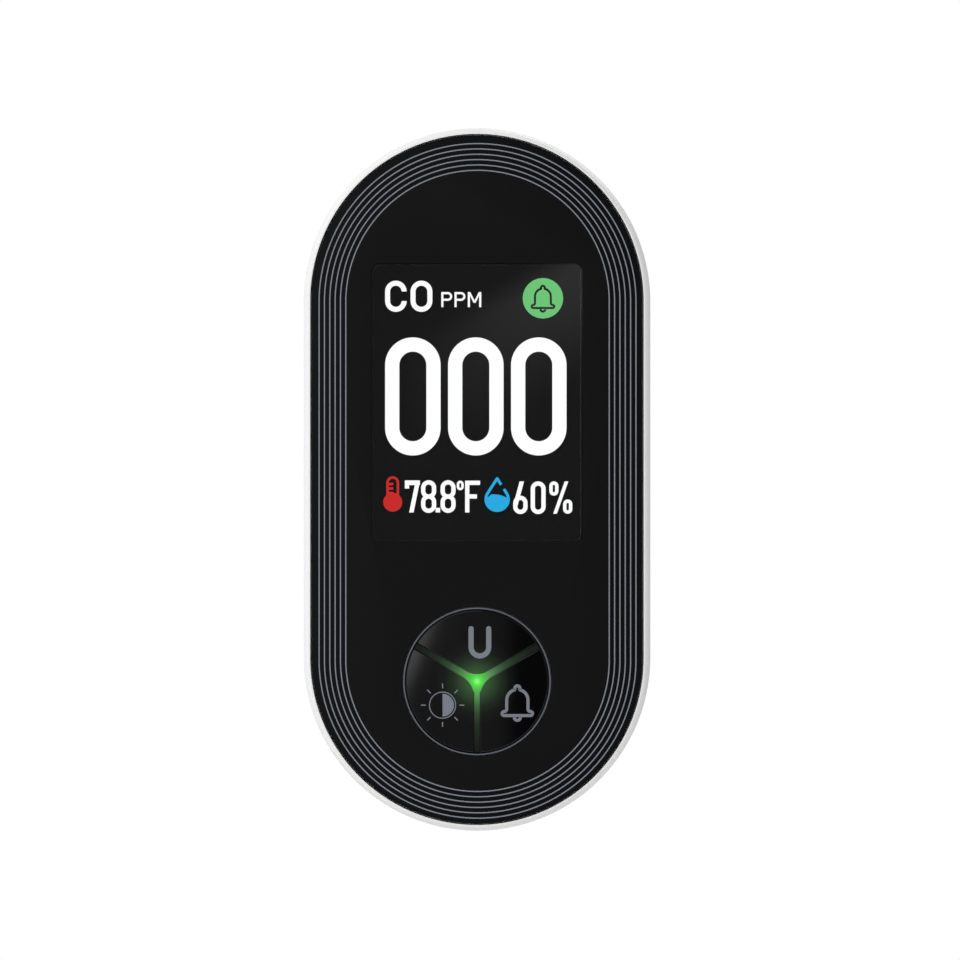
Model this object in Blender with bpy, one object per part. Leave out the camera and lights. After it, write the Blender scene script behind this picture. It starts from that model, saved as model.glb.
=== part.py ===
"""Plug-in carbon monoxide monitor with a colour display, as an assembly of separate solids.

Metres, +Z up. The origin is the centre of the flat back, which lies against the wall plate. The front faces
-Y, and the two plug blades point along +Y. Every outline is a list of (x, z) points, and a piece is lofted
through outlines at depths along Y.
"""

import math

import bmesh
import bpy
from mathutils import Matrix, Vector

MM = 0.001

# ---- fits ----
GAP = 0.3 * MM  # between pieces that rest on each other
SLIDE = 0.25 * MM  # round the keys and the plates that drop into a recess
LIGHT_GAP = 0.2 * MM  # between a key and the light guide
OVERLAP = 0.5 * MM  # how far a boss runs into the wall that it grows from
PASS = 5.0 * MM  # how far a cutter runs past what it cuts

# ---- body ----
BODY_WIDTH = 60.5 * MM
BODY_HEIGHT = 122.5 * MM
BODY_DEPTH = 33.0 * MM
WALL = 2.0 * MM
RIM_WIDTH = 1.6 * MM  # white rim round the black front panel
LIP_WIDTH = 0.15 * MM  # flat top of that rim
FRONT_ROUNDING = 7.0 * MM  # depth over which the side swells to its widest
BACK_TAPER = 0.085  # the side's slope behind its widest place
TAPER_EASE = 3.0 * MM  # how gently that slope begins
BACK_ROUNDING = 2.0 * MM
SPLIT_DEPTH = 9.0 * MM  # the rear housing's side wall, from the back
TONGUE_LENGTH = 1.7 * MM
TONGUE_THICK = 0.7 * MM

# ---- layers behind the front ----
PANEL_THICK = 1.5 * MM
PANEL_EDGE = 0.15 * MM  # eased front edge
TAPE_THICK = 0.4 * MM
WEB_THICK = 1.5 * MM
LCD_THICK = 1.2 * MM
BACKLIGHT_THICK = 1.6 * MM
CARRIER_WALL = 1.4 * MM
BOARD_THICK = 1.6 * MM

# ---- display ----
DISPLAY_RISE = 13.3 * MM  # window's centre above the body's centre
WINDOW_WIDTH = 36.65 * MM
WINDOW_HEIGHT = 48.4 * MM
WINDOW_CORNER = 1.55 * MM
WINDOW_FLANGE = 1.6 * MM
WEB_MARGIN = 0.8 * MM  # web opening past the window, each side
LCD_WIDTH = 42.7 * MM
LCD_HEIGHT = 60.3 * MM
LCD_DROP = 2.6 * MM  # module's centre below the window's centre
FLEX_WIDTH = 12.0 * MM
FLEX_THICK = 0.3 * MM
FLEX_BEND = 0.9 * MM
FLEX_PLACE = 13.0 * MM  # to the right of the middle
FLEX_REACH = 1.75 * MM  # below the display carrier
CONNECTOR_SIZE = (14.0 * MM, 1.4 * MM, 3.6 * MM)

# ---- key cluster ----
KEYS_DROP = 35.0 * MM  # cluster's centre below the body's centre
KEY_RADIUS = 12.3 * MM
KEY_PROUD = 0.2 * MM
KEY_FLANGE = 1.0 * MM  # how far the hidden flange reaches past the key, and its thickness
KEY_STEP = 0.15 * MM  # from the flange's back to the key's back
KEY_EDGE = 0.15 * MM  # eased front edge
KEY_CORNER = 3.3 * MM  # rounding where the keys meet in the middle
KEY_TRAVEL = 0.5 * MM
RING_WALL = 0.25 * MM
RING_FLANGE = 1.7 * MM
GUIDE_WIDTH = 0.75 * MM
GUIDE_STEM = 2.0 * MM
KEY_PLACES = {"units": 90, "alarm": 330, "brightness": 210}  # degrees round the cluster
SWITCH_CIRCLE = 7.2 * MM
SWITCH_SIDE = 6.0 * MM
SWITCH_HEIGHT = 3.4 * MM
PLUNGER_RADIUS = 1.7 * MM
PLUNGER_PROUD = 0.8 * MM
PLUNGER_SUNK = 1.3 * MM
POST_RADIUS = 1.5 * MM
LED_SIZE = (3.5 * MM, 1.6 * MM, 2.8 * MM)

# ---- screws ----
BOSS_INSET = 3.4 * MM  # case screw axis inside the back's inner wall
CASE_BOSS_RADIUS = 3.5 * MM
CASE_COLUMN_RADIUS = 4.0 * MM
CASE_COLUMN_LENGTH = 10.0 * MM
CASE_SCREW_ANGLES = (50, 130, 212, 328)  # degrees, round the nearer end of the body
CASE_SHAFT = 1.45 * MM
CASE_HEAD = 2.6 * MM
CASE_HEAD_HEIGHT = 1.8 * MM
CASE_SCREW_LENGTH = 15.0 * MM
CASE_HEAD_RECESS = 5.0 * MM
BOARD_BOSS_RADIUS = 2.6 * MM
BOARD_BOSS_INSET = 4.3 * MM  # board screw axis inside the board's edge
BOARD_SCREW_ANGLES = (73, 107, 248, 292)
SMALL_SHAFT = 1.0 * MM
SMALL_HEAD = 2.0 * MM
SMALL_HEAD_HEIGHT = 1.3 * MM
SMALL_SCREW_LENGTH = 5.0 * MM
BOARD_EDGE = 1.2 * MM  # main board's clearance to the wall
CROSS_LENGTH = 1.2  # of the cross in a screw's head, as a share of the head's radius
CROSS_WIDTH = 0.25
CROSS_FLOOR = 1 / 3  # as a share of the head's height

# ---- main board ----
CONTROLLER_SIZE = (9.0 * MM, 1.4 * MM, 9.0 * MM)
CONTROLLER_PLACE = (9.0 * MM, 6.0 * MM)
HUMIDITY_SIZE = (4.0 * MM, 1.2 * MM, 4.0 * MM)
HUMIDITY_PLACE = (21.0 * MM, -10.0 * MM)

# ---- plug ----
PLUG_RISE = 18.0 * MM
BLADE_SPACING = 12.7 * MM
BLADE_THICK = 1.5 * MM
BLADE_WIDTH = 6.35 * MM
BLADE_REACH = 16.0 * MM
BLADE_TIP = 1.0 * MM
BLADE_HOLE = 1.55 * MM
BLADE_HOLE_REACH = 11.9 * MM
TAIL_THICK = 1.0 * MM
TAIL_WIDTH = 2.5 * MM
TAIL_PROUD = 2.0 * MM
HOLDER_THICK = 2.4 * MM
HOLDER_MARGIN = 4.0 * MM

# ---- power board ----
POWER_WIDTH = 42.0 * MM
POWER_HEIGHT = 42.0 * MM
POWER_SCREW_INSET = 2.6 * MM
STANDOFF_RADIUS = 2.6 * MM
POWER_PILOT_FLOOR = 1.0 * MM
LINK_BLOCK = (10.2 * MM, 2.5 * MM, 2.5 * MM)
LINK_PINS = 4
LINK_PIN_SIDE = 0.64 * MM
LINK_PITCH = 2.54 * MM
LINK_PLACE = (-13.0 * MM, -16.0 * MM)  # this and the places below are from the plug's centre
CORE_SIZE = (14.0 * MM, 13.0 * MM)
CORE_THICK = 5.0 * MM
CORE_LEG = 2.0 * MM
CORE_LIFT = 3.5 * MM  # above the board
COIL_HEIGHT = 11.5 * MM
TRANSFORMER_PLACE = (11.0 * MM, 9.0 * MM)
CAPACITORS = {  # radius, height, and place (x, z), in millimetres
    "bulk_capacitor_1": (4.0, 12.0, -13.0, 13.0),
    "bulk_capacitor_2": (4.0, 12.0, -3.5, 14.5),
    "output_capacitor": (3.2, 11.0, 14.0, -14.0),
}
FUSE_RADIUS = 1.8 * MM
FUSE_HEIGHT = 7.0 * MM
FUSE_PLACE = (-13.5 * MM, 3.5 * MM)
RECTIFIER_SIZE = (8.0 * MM, 2.6 * MM, 6.4 * MM)
RECTIFIER_PLACE = (-13.5 * MM, -8.0 * MM)
POWER_CHIP_SIZE = (9.3 * MM, 3.4 * MM, 6.4 * MM)
POWER_CHIP_PLACE = (12.0 * MM, -5.0 * MM)
DISC_SIZE = (7.0 * MM, 7.5 * MM, 3.6 * MM)  # ceramic disc capacitor across the isolation gap
DISC_CORNER = 1.5 * MM
DISC_PLACE = (1.0 * MM, -11.0 * MM)

# ---- gas sensor and sounder ----
SENSOR_PLACE = (-8.0 * MM, -14.0 * MM)
SENSOR_RADIUS = 10.0 * MM
SENSOR_LENGTH = 13.5 * MM
SENSOR_CAP_LIP = 0.4 * MM
SENSOR_CAP_LENGTH = 3.1 * MM
SENSOR_CAP_FLOOR = 1.2 * MM
SENSOR_INLET = 1.9 * MM
FILTER_RADIUS = 7.2 * MM
FILTER_THICK = 1.3 * MM
BUZZER_DROP = 40.0 * MM
BUZZER_RADIUS = 11.0 * MM
BUZZER_LENGTH = 9.2 * MM
BUZZER_WALL = 1.1 * MM
BUZZER_MOUTH = 1.9 * MM
BUZZER_DISC_THICK = 0.4 * MM
BUZZER_DISC_DEPTH = 1.2 * MM

# ---- vents and label ----
VENT_WIDTH = 1.4 * MM
VENT_LENGTH = 9.0 * MM
VENT_PITCH = 3.0 * MM
SIDE_VENTS = 7
BOTTOM_VENTS = 5
VENT_MARGIN = 6.5 * MM  # vents' nearer end, in front of the split
LABEL_WIDTH = 38.0 * MM
LABEL_HEIGHT = 22.0 * MM
LABEL_THICK = 0.25 * MM
LABEL_DROP = 24.0 * MM
LABEL_CORNER = 2.0 * MM

# ---- smoothness ----
END_STEPS = 24
ROUND_STEPS = 20
CORNER_STEPS = 4
SWELL_STEPS = 6
TAPER_STEPS = 3
SMOOTH_BELOW = math.radians(35)

# ---- values worked out from the sizes above ----
BODY_RADIUS = BODY_WIDTH / 2
END_CENTRE = BODY_HEIGHT / 2 - BODY_RADIUS
FRONT = -BODY_DEPTH
PANEL_RADIUS = BODY_RADIUS - RIM_WIDTH
RECESS_RADIUS = PANEL_RADIUS + SLIDE
LIP_RADIUS = RECESS_RADIUS + LIP_WIDTH
PANEL_BACK = FRONT + PANEL_THICK
TAPE_FRONT = PANEL_BACK + GAP
TAPE_BACK = TAPE_FRONT + TAPE_THICK
WEB_FRONT = TAPE_BACK + GAP
WEB_BACK = WEB_FRONT + WEB_THICK
LCD_FRONT = WEB_BACK + GAP
LCD_BACK = LCD_FRONT + LCD_THICK
BACKLIGHT_FRONT = LCD_BACK + GAP
BACKLIGHT_BACK = BACKLIGHT_FRONT + BACKLIGHT_THICK
CARRIER_FLOOR = BACKLIGHT_BACK + GAP
CARRIER_BACK = CARRIER_FLOOR + CARRIER_WALL
BOARD_FRONT = CARRIER_BACK + GAP
BOARD_BACK = BOARD_FRONT + BOARD_THICK
LCD_RISE = DISPLAY_RISE - LCD_DROP
RING_RADIUS = KEY_RADIUS + SLIDE
RING_OUTER = RING_RADIUS + RING_WALL
KEY_HOLE = RING_OUTER + LIGHT_GAP
FLANGE_FRONT = TAPE_BACK + GAP
FLANGE_BACK = FLANGE_FRONT + KEY_FLANGE
KEY_BACK = FLANGE_BACK + KEY_STEP
STEM_FRONT = KEY_BACK + KEY_TRAVEL + GAP
SWITCH_FOOT = BOARD_FRONT - GAP
SWITCH_TOP = SWITCH_FOOT - SWITCH_HEIGHT
PLUNGER_TOP = SWITCH_TOP - PLUNGER_PROUD
HOLDER_BACK = -WALL - GAP
HOLDER_FRONT = HOLDER_BACK - HOLDER_THICK
POWER_BACK = HOLDER_FRONT - GAP
POWER_FRONT = POWER_BACK - BOARD_THICK
SPLIT = -SPLIT_DEPTH
COLUMN_TOP = -WALL - CASE_COLUMN_LENGTH


# ---- outlines ----
def arc(centre, radius, start, end, steps):
    """Points on an arc, from one angle to another in degrees."""
    points = []
    for i in range(steps + 1):
        angle = math.radians(start + (end - start) * i / steps)
        points.append((centre[0] + radius * math.cos(angle), centre[1] + radius * math.sin(angle)))
    return points


def circle(radius, centre=(0, 0), steps=ROUND_STEPS):
    return arc(centre, radius, 0, 360, steps)[:-1]


def stadium(radius, half_length=END_CENTRE, steps=END_STEPS):
    """Two half circles joined by straight sides: the outline of the body."""
    top = arc((0, half_length), radius, 0, 180, steps)
    bottom = arc((0, -half_length), radius, 180, 360, steps)
    return top + bottom


def rectangle(width, height, centre=(0, 0)):
    x, z = width / 2, height / 2
    return [(centre[0] + i * x, centre[1] + j * z) for i, j in ((1, -1), (1, 1), (-1, 1), (-1, -1))]


def rounded(width, height, corner, centre=(0, 0)):
    """A rectangle with round corners."""
    points = []
    for turn, (i, j) in enumerate(((1, 1), (-1, 1), (-1, -1), (1, -1))):
        middle = (centre[0] + i * (width / 2 - corner), centre[1] + j * (height / 2 - corner))
        points += arc(middle, corner, 90 * turn, 90 * turn + 90, CORNER_STEPS)
    return points


def guide_outline(width, reach):
    """The Y that runs between the keys, with rounded inner corners."""
    points = []
    half_angle = math.degrees(math.asin(width / 2 / reach))
    for arm in (30, 150, 270):
        middle = math.radians(arm + 60)
        away = (width / 2 + LIGHT_GAP + KEY_CORNER) / math.sin(math.radians(60))
        centre = (away * math.cos(middle), away * math.sin(middle))
        points += arc((0, 0), reach, arm - half_angle, arm + half_angle, 1)
        points += arc(centre, LIGHT_GAP + KEY_CORNER, arm + 270, arm + 210, CORNER_STEPS)
    return points


def key_outline(place, inset=0.0):
    """One third of the cluster's disc, with its inner corner rounded to follow the light guide."""
    edge = GUIDE_WIDTH / 2 + LIGHT_GAP
    middle = math.radians(place)
    away = (edge + KEY_CORNER) / math.sin(math.radians(60))
    centre = (away * math.cos(middle), away * math.sin(middle))
    outer = KEY_RADIUS - inset
    half = 60 - math.degrees(math.asin((edge + inset) / outer))
    points = arc((0, 0), outer, place - half, place + half, ROUND_STEPS)
    points += arc(centre, KEY_CORNER - inset, place + 150, place + 210, CORNER_STEPS)
    return points


def flange_outline(place):
    """The band along a key's round side that keeps it behind the key ring."""
    half = 60 - math.degrees((GUIDE_WIDTH / 2 + LIGHT_GAP + KEY_FLANGE) / KEY_RADIUS)
    outside = arc((0, 0), KEY_RADIUS + KEY_FLANGE, place - half, place + half, ROUND_STEPS)
    inside = arc((0, 0), KEY_RADIUS - KEY_FLANGE, place + half, place - half, ROUND_STEPS)
    return outside + inside


# ---- solids ----
def loft(bm, sections, closed=False):
    """One body through outlines at depths. A closed one joins its last outline to its first."""
    rings = [[bm.verts.new((x, depth, z)) for x, z in outline] for outline, depth in sections]
    following = rings[1:] + rings[:1] if closed else rings[1:]
    for first, second in zip(rings, following):
        for i in range(len(first)):
            bm.faces.new((first[i - 1], first[i], second[i], second[i - 1]))
    if not closed:
        bm.faces.new(rings[0])
        bm.faces.new(rings[-1])


def mesh_of(name, bodies, closed=False):
    """A mesh that holds one loft for each list of sections."""
    bm = bmesh.new()
    for sections in bodies:
        loft(bm, sections, closed)
    bmesh.ops.recalc_face_normals(bm, faces=bm.faces)
    mesh = bpy.data.meshes.new(name)
    bm.to_mesh(mesh)
    bm.free()
    mesh.shade_smooth()
    mesh.set_sharp_from_angle(angle=SMOOTH_BELOW)
    return mesh


def place(name, mesh, material, at=(0, 0, 0), parent=None):
    obj = bpy.data.objects.new(name, mesh)
    bpy.context.collection.objects.link(obj)
    obj.location = at
    obj.parent = parent or MONITOR
    if material and not mesh.materials:
        mesh.materials.append(MATERIALS[material])
    return obj


def piece(name, material, sections, at=(0, 0, 0), closed=False, parent=None):
    """A sub-part lofted through its sections, which are measured from its place."""
    return place(name, mesh_of(name, [sections], closed), material, at, parent)


def block(name, material, size, at, corner=0.0):
    """A cuboid of size (x, y, z) that grows from its place towards -Y, or towards +Y where y is negative."""
    outline = rounded(size[0], size[2], corner) if corner else rectangle(size[0], size[2])
    return piece(name, material, [(outline, 0), (outline, -size[1])], at)


def shape(target, operation, bodies, turn=None):
    """Joins bodies to a sub-part, or cuts them from it."""
    mesh = mesh_of(f"{target.name}_{operation.lower()}", bodies)
    if turn:
        mesh.transform(turn)
    helper = bpy.data.objects.new(mesh.name, mesh)
    bpy.context.collection.objects.link(helper)
    helper.matrix_world = Matrix.Translation(target.matrix_basis.translation)
    helper.parent = target.parent
    helper.hide_render = True
    helper.display_type = "WIRE"
    modifier = target.modifiers.new(helper.name, "BOOLEAN")
    modifier.operation = operation
    modifier.solver = "EXACT"
    modifier.object = helper


def rod(radius, start, end, centre=(0, 0), steps=ROUND_STEPS):
    """Sections of a plain cylinder."""
    outline = circle(radius, centre, steps)
    return [(outline, start), (outline, end)]


def bar(width, height, start, end, centre=(0, 0)):
    """Sections of a plain bar."""
    outline = rectangle(width, height, centre)
    return [(outline, start), (outline, end)]


# ---- the body's section ----
def outer_radius(depth):
    """Half the body's width at a depth: it swells from the lip to its widest, then tapers to the back."""
    behind = depth - FRONT
    if behind <= FRONT_ROUNDING:
        swell = BODY_RADIUS - LIP_RADIUS
        return LIP_RADIUS + swell * math.sqrt(1 - (1 - behind / FRONT_ROUNDING) ** 2)
    return BODY_RADIUS - BACK_TAPER * (math.hypot(behind - FRONT_ROUNDING, TAPER_EASE) - TAPER_EASE)


def inner_radius(depth):
    return outer_radius(depth) - WALL


def wall_sections(radius_at, start, end, steps):
    """Sections along the side wall between two depths."""
    depths = [start + (end - start) * i / steps for i in range(steps + 1)]
    return [(stadium(radius_at(depth)), depth) for depth in depths]


def end_place(radius, angle):
    """A point round the nearer end of the body."""
    x, z = arc((0, 0), radius, angle, angle, 1)[0]
    return (x, z + math.copysign(END_CENTRE, z))


def case_screw_places():
    radius = inner_radius(-WALL) - BOSS_INSET
    return [end_place(radius, angle) for angle in CASE_SCREW_ANGLES]


def board_radius():
    return inner_radius(BOARD_BACK) - BOARD_EDGE


def board_screw_places():
    radius = board_radius() - BOARD_BOSS_INSET
    return [end_place(radius, angle) for angle in BOARD_SCREW_ANGLES]


def power_screw_places():
    x = POWER_WIDTH / 2 - POWER_SCREW_INSET
    return [(-x, PLUG_RISE), (x, PLUG_RISE)]


def blade_places():
    return [(-BLADE_SPACING / 2, PLUG_RISE), (BLADE_SPACING / 2, PLUG_RISE)]


# ---- housings ----
def front_housing():
    joint = SPLIT - GAP
    rabbet = joint - TONGUE_LENGTH
    lap = WALL - TONGUE_THICK - GAP
    widest = FRONT + FRONT_ROUNDING
    sections = [(stadium(RECESS_RADIUS), WEB_FRONT), (stadium(RECESS_RADIUS), FRONT)]
    for i in range(SWELL_STEPS):
        depth = FRONT + FRONT_ROUNDING * (1 - math.cos(math.pi / 2 * i / SWELL_STEPS))
        sections.append((stadium(outer_radius(depth)), depth))
    sections += wall_sections(outer_radius, widest, joint, TAPER_STEPS)
    sections += wall_sections(lambda depth: outer_radius(depth) - lap, joint, rabbet, 1)
    sections += wall_sections(inner_radius, rabbet, widest, TAPER_STEPS)
    sections.append((stadium(inner_radius(WEB_BACK)), WEB_BACK))
    housing = piece("front_housing", "white_plastic", sections)

    root = WEB_BACK - OVERLAP
    boss_end = COLUMN_TOP - GAP
    bosses = [rod(CASE_BOSS_RADIUS, root, boss_end, at) for at in case_screw_places()]
    bosses += [rod(BOARD_BOSS_RADIUS, root, BOARD_FRONT - GAP, at) for at in board_screw_places()]
    shape(housing, "UNION", bosses)

    window = rounded(
        WINDOW_WIDTH + 2 * WEB_MARGIN, WINDOW_HEIGHT + 2 * WEB_MARGIN, WINDOW_CORNER, (0, DISPLAY_RISE)
    )
    keys = circle(KEY_RADIUS + KEY_FLANGE + 2 * LIGHT_GAP, (0, -KEYS_DROP), 2 * ROUND_STEPS)
    cuts = [[(outline, FRONT), (outline, WEB_BACK + GAP)] for outline in (window, keys)]
    screw_end = -CASE_HEAD_RECESS - CASE_SCREW_LENGTH - 2 * GAP
    cuts += [rod(CASE_SHAFT + GAP, screw_end, boss_end + PASS, at) for at in case_screw_places()]
    cuts += [rod(SMALL_SHAFT + GAP, WEB_BACK + GAP, BOARD_FRONT, at) for at in board_screw_places()]
    shape(housing, "DIFFERENCE", cuts)
    cut_vents(housing)
    return housing


def cut_vents(housing):
    """Slots that let air reach the sensor at both sides, and sound out at the bottom."""
    middle = SPLIT - VENT_MARGIN - VENT_LENGTH / 2
    vent = stadium(VENT_WIDTH / 2, (VENT_LENGTH - VENT_WIDTH) / 2, CORNER_STEPS)
    reach = BODY_RADIUS + PASS
    side = []
    for i in range(SIDE_VENTS):
        z = SENSOR_PLACE[1] + VENT_PITCH * (i - (SIDE_VENTS - 1) / 2)
        # Turned a quarter about Z below, so that x becomes the depth and the depth becomes x.
        slot = [(along + middle, across + z) for across, along in vent]
        side.append([(slot, -reach), (slot, reach)])
    shape(housing, "DIFFERENCE", side, Matrix.Rotation(math.pi / 2, 4, "Z"))
    bottom = []
    lowest = END_CENTRE + BODY_RADIUS + PASS
    for i in range(BOTTOM_VENTS):
        x = VENT_PITCH * (i - (BOTTOM_VENTS - 1) / 2)
        slot = [(across + x, -along - middle) for across, along in vent]
        bottom.append([(slot, -lowest), (slot, -END_CENTRE - BODY_RADIUS / 2)])
    shape(housing, "DIFFERENCE", bottom, Matrix.Rotation(math.pi / 2, 4, "X"))


def rear_housing():
    tongue_end = SPLIT - TONGUE_LENGTH
    lap = WALL - TONGUE_THICK
    sections = []
    for i in range(CORNER_STEPS + 1):
        turn = math.pi / 2 * i / CORNER_STEPS
        radius = outer_radius(-BACK_ROUNDING) - BACK_ROUNDING * (1 - math.sin(turn))
        sections.append((stadium(radius), -BACK_ROUNDING * (1 - math.cos(turn))))
    sections += wall_sections(outer_radius, -BACK_ROUNDING, SPLIT, 2)[1:]
    sections += wall_sections(lambda depth: outer_radius(depth) - lap, SPLIT, tongue_end, 1)
    sections += wall_sections(inner_radius, tongue_end, -WALL, 2)
    housing = piece("rear_housing", "white_plastic", sections)

    root = -WALL + OVERLAP
    columns = [rod(CASE_COLUMN_RADIUS, root, COLUMN_TOP, at) for at in case_screw_places()]
    columns += [rod(STANDOFF_RADIUS, root, POWER_BACK + GAP, at) for at in power_screw_places()]
    shape(housing, "UNION", columns)

    cuts = [
        bar(BLADE_THICK + 2 * GAP, BLADE_WIDTH + 2 * GAP, -WALL - GAP, PASS, at) for at in blade_places()
    ]
    head_bore = CASE_HEAD + GAP
    shaft_bore = CASE_SHAFT + GAP
    for at in case_screw_places():
        cuts.append(
            [
                (circle(shaft_bore, at), COLUMN_TOP - PASS),
                (circle(shaft_bore, at), -CASE_HEAD_RECESS),
                (circle(head_bore, at), -CASE_HEAD_RECESS),
                (circle(head_bore, at), PASS),
            ]
        )
    for at in power_screw_places():
        cuts.append(rod(SMALL_SHAFT + GAP, POWER_BACK - PASS, -POWER_PILOT_FLOOR, at))
    recess = rounded(LABEL_WIDTH + 2 * GAP, LABEL_HEIGHT + 2 * GAP, LABEL_CORNER + GAP, (0, -LABEL_DROP))
    cuts.append([(recess, -LABEL_THICK - GAP), (recess, PASS)])
    shape(housing, "DIFFERENCE", cuts)
    return housing


# ---- front ----
def front_panel():
    sections = [
        (stadium(PANEL_RADIUS - PANEL_EDGE), FRONT),
        (stadium(PANEL_RADIUS), FRONT + PANEL_EDGE),
        (stadium(PANEL_RADIUS), PANEL_BACK),
    ]
    panel = piece("front_panel", "black_gloss", sections)
    window = rounded(WINDOW_WIDTH, WINDOW_HEIGHT, WINDOW_CORNER, (0, DISPLAY_RISE))
    keys = circle(KEY_HOLE, (0, -KEYS_DROP), 2 * ROUND_STEPS)
    shape(panel, "DIFFERENCE", [[(outline, FRONT - PASS), (outline, PASS)] for outline in (window, keys)])


def panel_tape():
    sections = [(stadium(PANEL_RADIUS - GAP), TAPE_FRONT), (stadium(PANEL_RADIUS - GAP), TAPE_BACK)]
    tape = piece("panel_tape", "tape", sections)
    margin = 2 * (WINDOW_FLANGE + GAP)
    window = rounded(WINDOW_WIDTH + margin, WINDOW_HEIGHT + margin, WINDOW_CORNER, (0, DISPLAY_RISE))
    keys = circle(RING_OUTER + RING_FLANGE + GAP, (0, -KEYS_DROP), 2 * ROUND_STEPS)
    shape(tape, "DIFFERENCE", [[(outline, FRONT), (outline, PASS)] for outline in (window, keys)])


def display_window():
    """A clear lens in the panel's opening, held from behind by its flange."""
    at = (0, FRONT, DISPLAY_RISE)
    lens = rounded(WINDOW_WIDTH - 2 * SLIDE, WINDOW_HEIGHT - 2 * SLIDE, WINDOW_CORNER - SLIDE)
    flange = rounded(WINDOW_WIDTH + 2 * WINDOW_FLANGE, WINDOW_HEIGHT + 2 * WINDOW_FLANGE, WINDOW_CORNER)
    step = TAPE_FRONT - FRONT
    sections = [(lens, 0), (lens, step), (flange, step), (flange, step + TAPE_THICK)]
    piece("display_window", "clear_plastic", sections, at)


def display():
    middle = (0, 0, LCD_RISE)
    glass = rounded(LCD_WIDTH - GAP, LCD_HEIGHT - 2 * GAP, GAP)
    piece("lcd_glass", "display_glass", [(glass, LCD_FRONT), (glass, LCD_BACK)], middle)
    light = rounded(LCD_WIDTH, LCD_HEIGHT, 2 * GAP)
    piece("backlight_unit", "pale_plastic", [(light, BACKLIGHT_FRONT), (light, BACKLIGHT_BACK)], middle)

    inside = rounded(LCD_WIDTH + 2 * GAP, LCD_HEIGHT + 2 * GAP, 3 * GAP)
    wall = GAP + CARRIER_WALL
    outside = rounded(LCD_WIDTH + 2 * wall, LCD_HEIGHT + 2 * wall, 3 * GAP + CARRIER_WALL)
    sections = [(inside, CARRIER_FLOOR), (inside, LCD_FRONT), (outside, LCD_FRONT), (outside, CARRIER_BACK)]
    carrier = piece("display_carrier", "grey_plastic", sections, middle)
    notch = rectangle(FLEX_WIDTH + 2 * GAP, 2 * PASS, (FLEX_PLACE, -LCD_HEIGHT / 2 - PASS / 2))
    shape(carrier, "DIFFERENCE", [[(notch, FRONT), (notch, LCD_BACK)]])


def flex_middle():
    """Where the flex crosses the main board, as a height."""
    return LCD_RISE - LCD_HEIGHT / 2 - GAP - CARRIER_WALL - FLEX_REACH


def display_flex():
    """A ribbon that leaves the glass downwards, turns back through the main board and up into its connector."""
    start_depth = (LCD_FRONT + LCD_BACK) / 2
    end_depth = BOARD_BACK + GAP + CONNECTOR_SIZE[1] / 2
    turn = flex_middle() + FLEX_BEND
    inner, outer = FLEX_BEND - FLEX_THICK / 2, FLEX_BEND + FLEX_THICK / 2
    top = LCD_RISE - LCD_HEIGHT / 2
    first, second = (start_depth + FLEX_BEND, turn), (end_depth - FLEX_BEND, turn)
    near, far = start_depth - FLEX_THICK / 2, end_depth + FLEX_THICK / 2
    outline = [(near, top)] + arc(first, outer, 180, 270, CORNER_STEPS)
    outline += arc(second, outer, 270, 360, CORNER_STEPS) + [(far, turn + 2 * GAP)]
    outline += [(far - FLEX_THICK, turn + 2 * GAP)] + arc(second, inner, 360, 270, CORNER_STEPS)
    outline += arc(first, inner, 270, 180, CORNER_STEPS) + [(near + FLEX_THICK, top)]
    mesh = mesh_of("display_flex", [[(outline, -FLEX_WIDTH / 2), (outline, FLEX_WIDTH / 2)]])
    mesh.transform(Matrix.Rotation(math.pi / 2, 4, "Z") @ Matrix.Scale(-1, 4, Vector((0, 1, 0))))
    mesh.flip_normals()
    place("display_flex", mesh, "flex", (FLEX_PLACE, 0, 0))
    rise = turn + 3 * GAP + CONNECTOR_SIZE[2] / 2
    on_back("flex_connector", "pale_plastic", CONNECTOR_SIZE, (FLEX_PLACE, rise))


# ---- keys ----
def key_ring():
    """A thin trim ring round the keys, held from behind by its flange."""
    tall, wide = 2 * ROUND_STEPS, RING_OUTER + RING_FLANGE
    step, back = TAPE_FRONT - FRONT, TAPE_BACK - FRONT
    profile = [(RING_RADIUS, 0), (RING_OUTER, 0), (RING_OUTER, step), (wide, step), (wide, back)]
    profile.append((RING_RADIUS, back))
    sections = [(circle(radius, steps=tall), depth) for radius, depth in profile]
    piece("key_ring", "satin_grey", sections, (0, FRONT, -KEYS_DROP), closed=True)


def light_guide():
    arms = guide_outline(GUIDE_WIDTH, KEY_RADIUS)
    at = (0, FRONT, -KEYS_DROP)
    stem = STEM_FRONT - FRONT
    foot = SWITCH_FOOT - LED_SIZE[1] - GAP - FRONT
    guide = piece("light_guide", "light_guide", [(arms, 0), (arms, stem + OVERLAP)], at)
    shape(guide, "UNION", [rod(GUIDE_STEM, stem, foot)])
    block("status_led", "pale_plastic", LED_SIZE, (0, SWITCH_FOOT, -KEYS_DROP))


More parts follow.
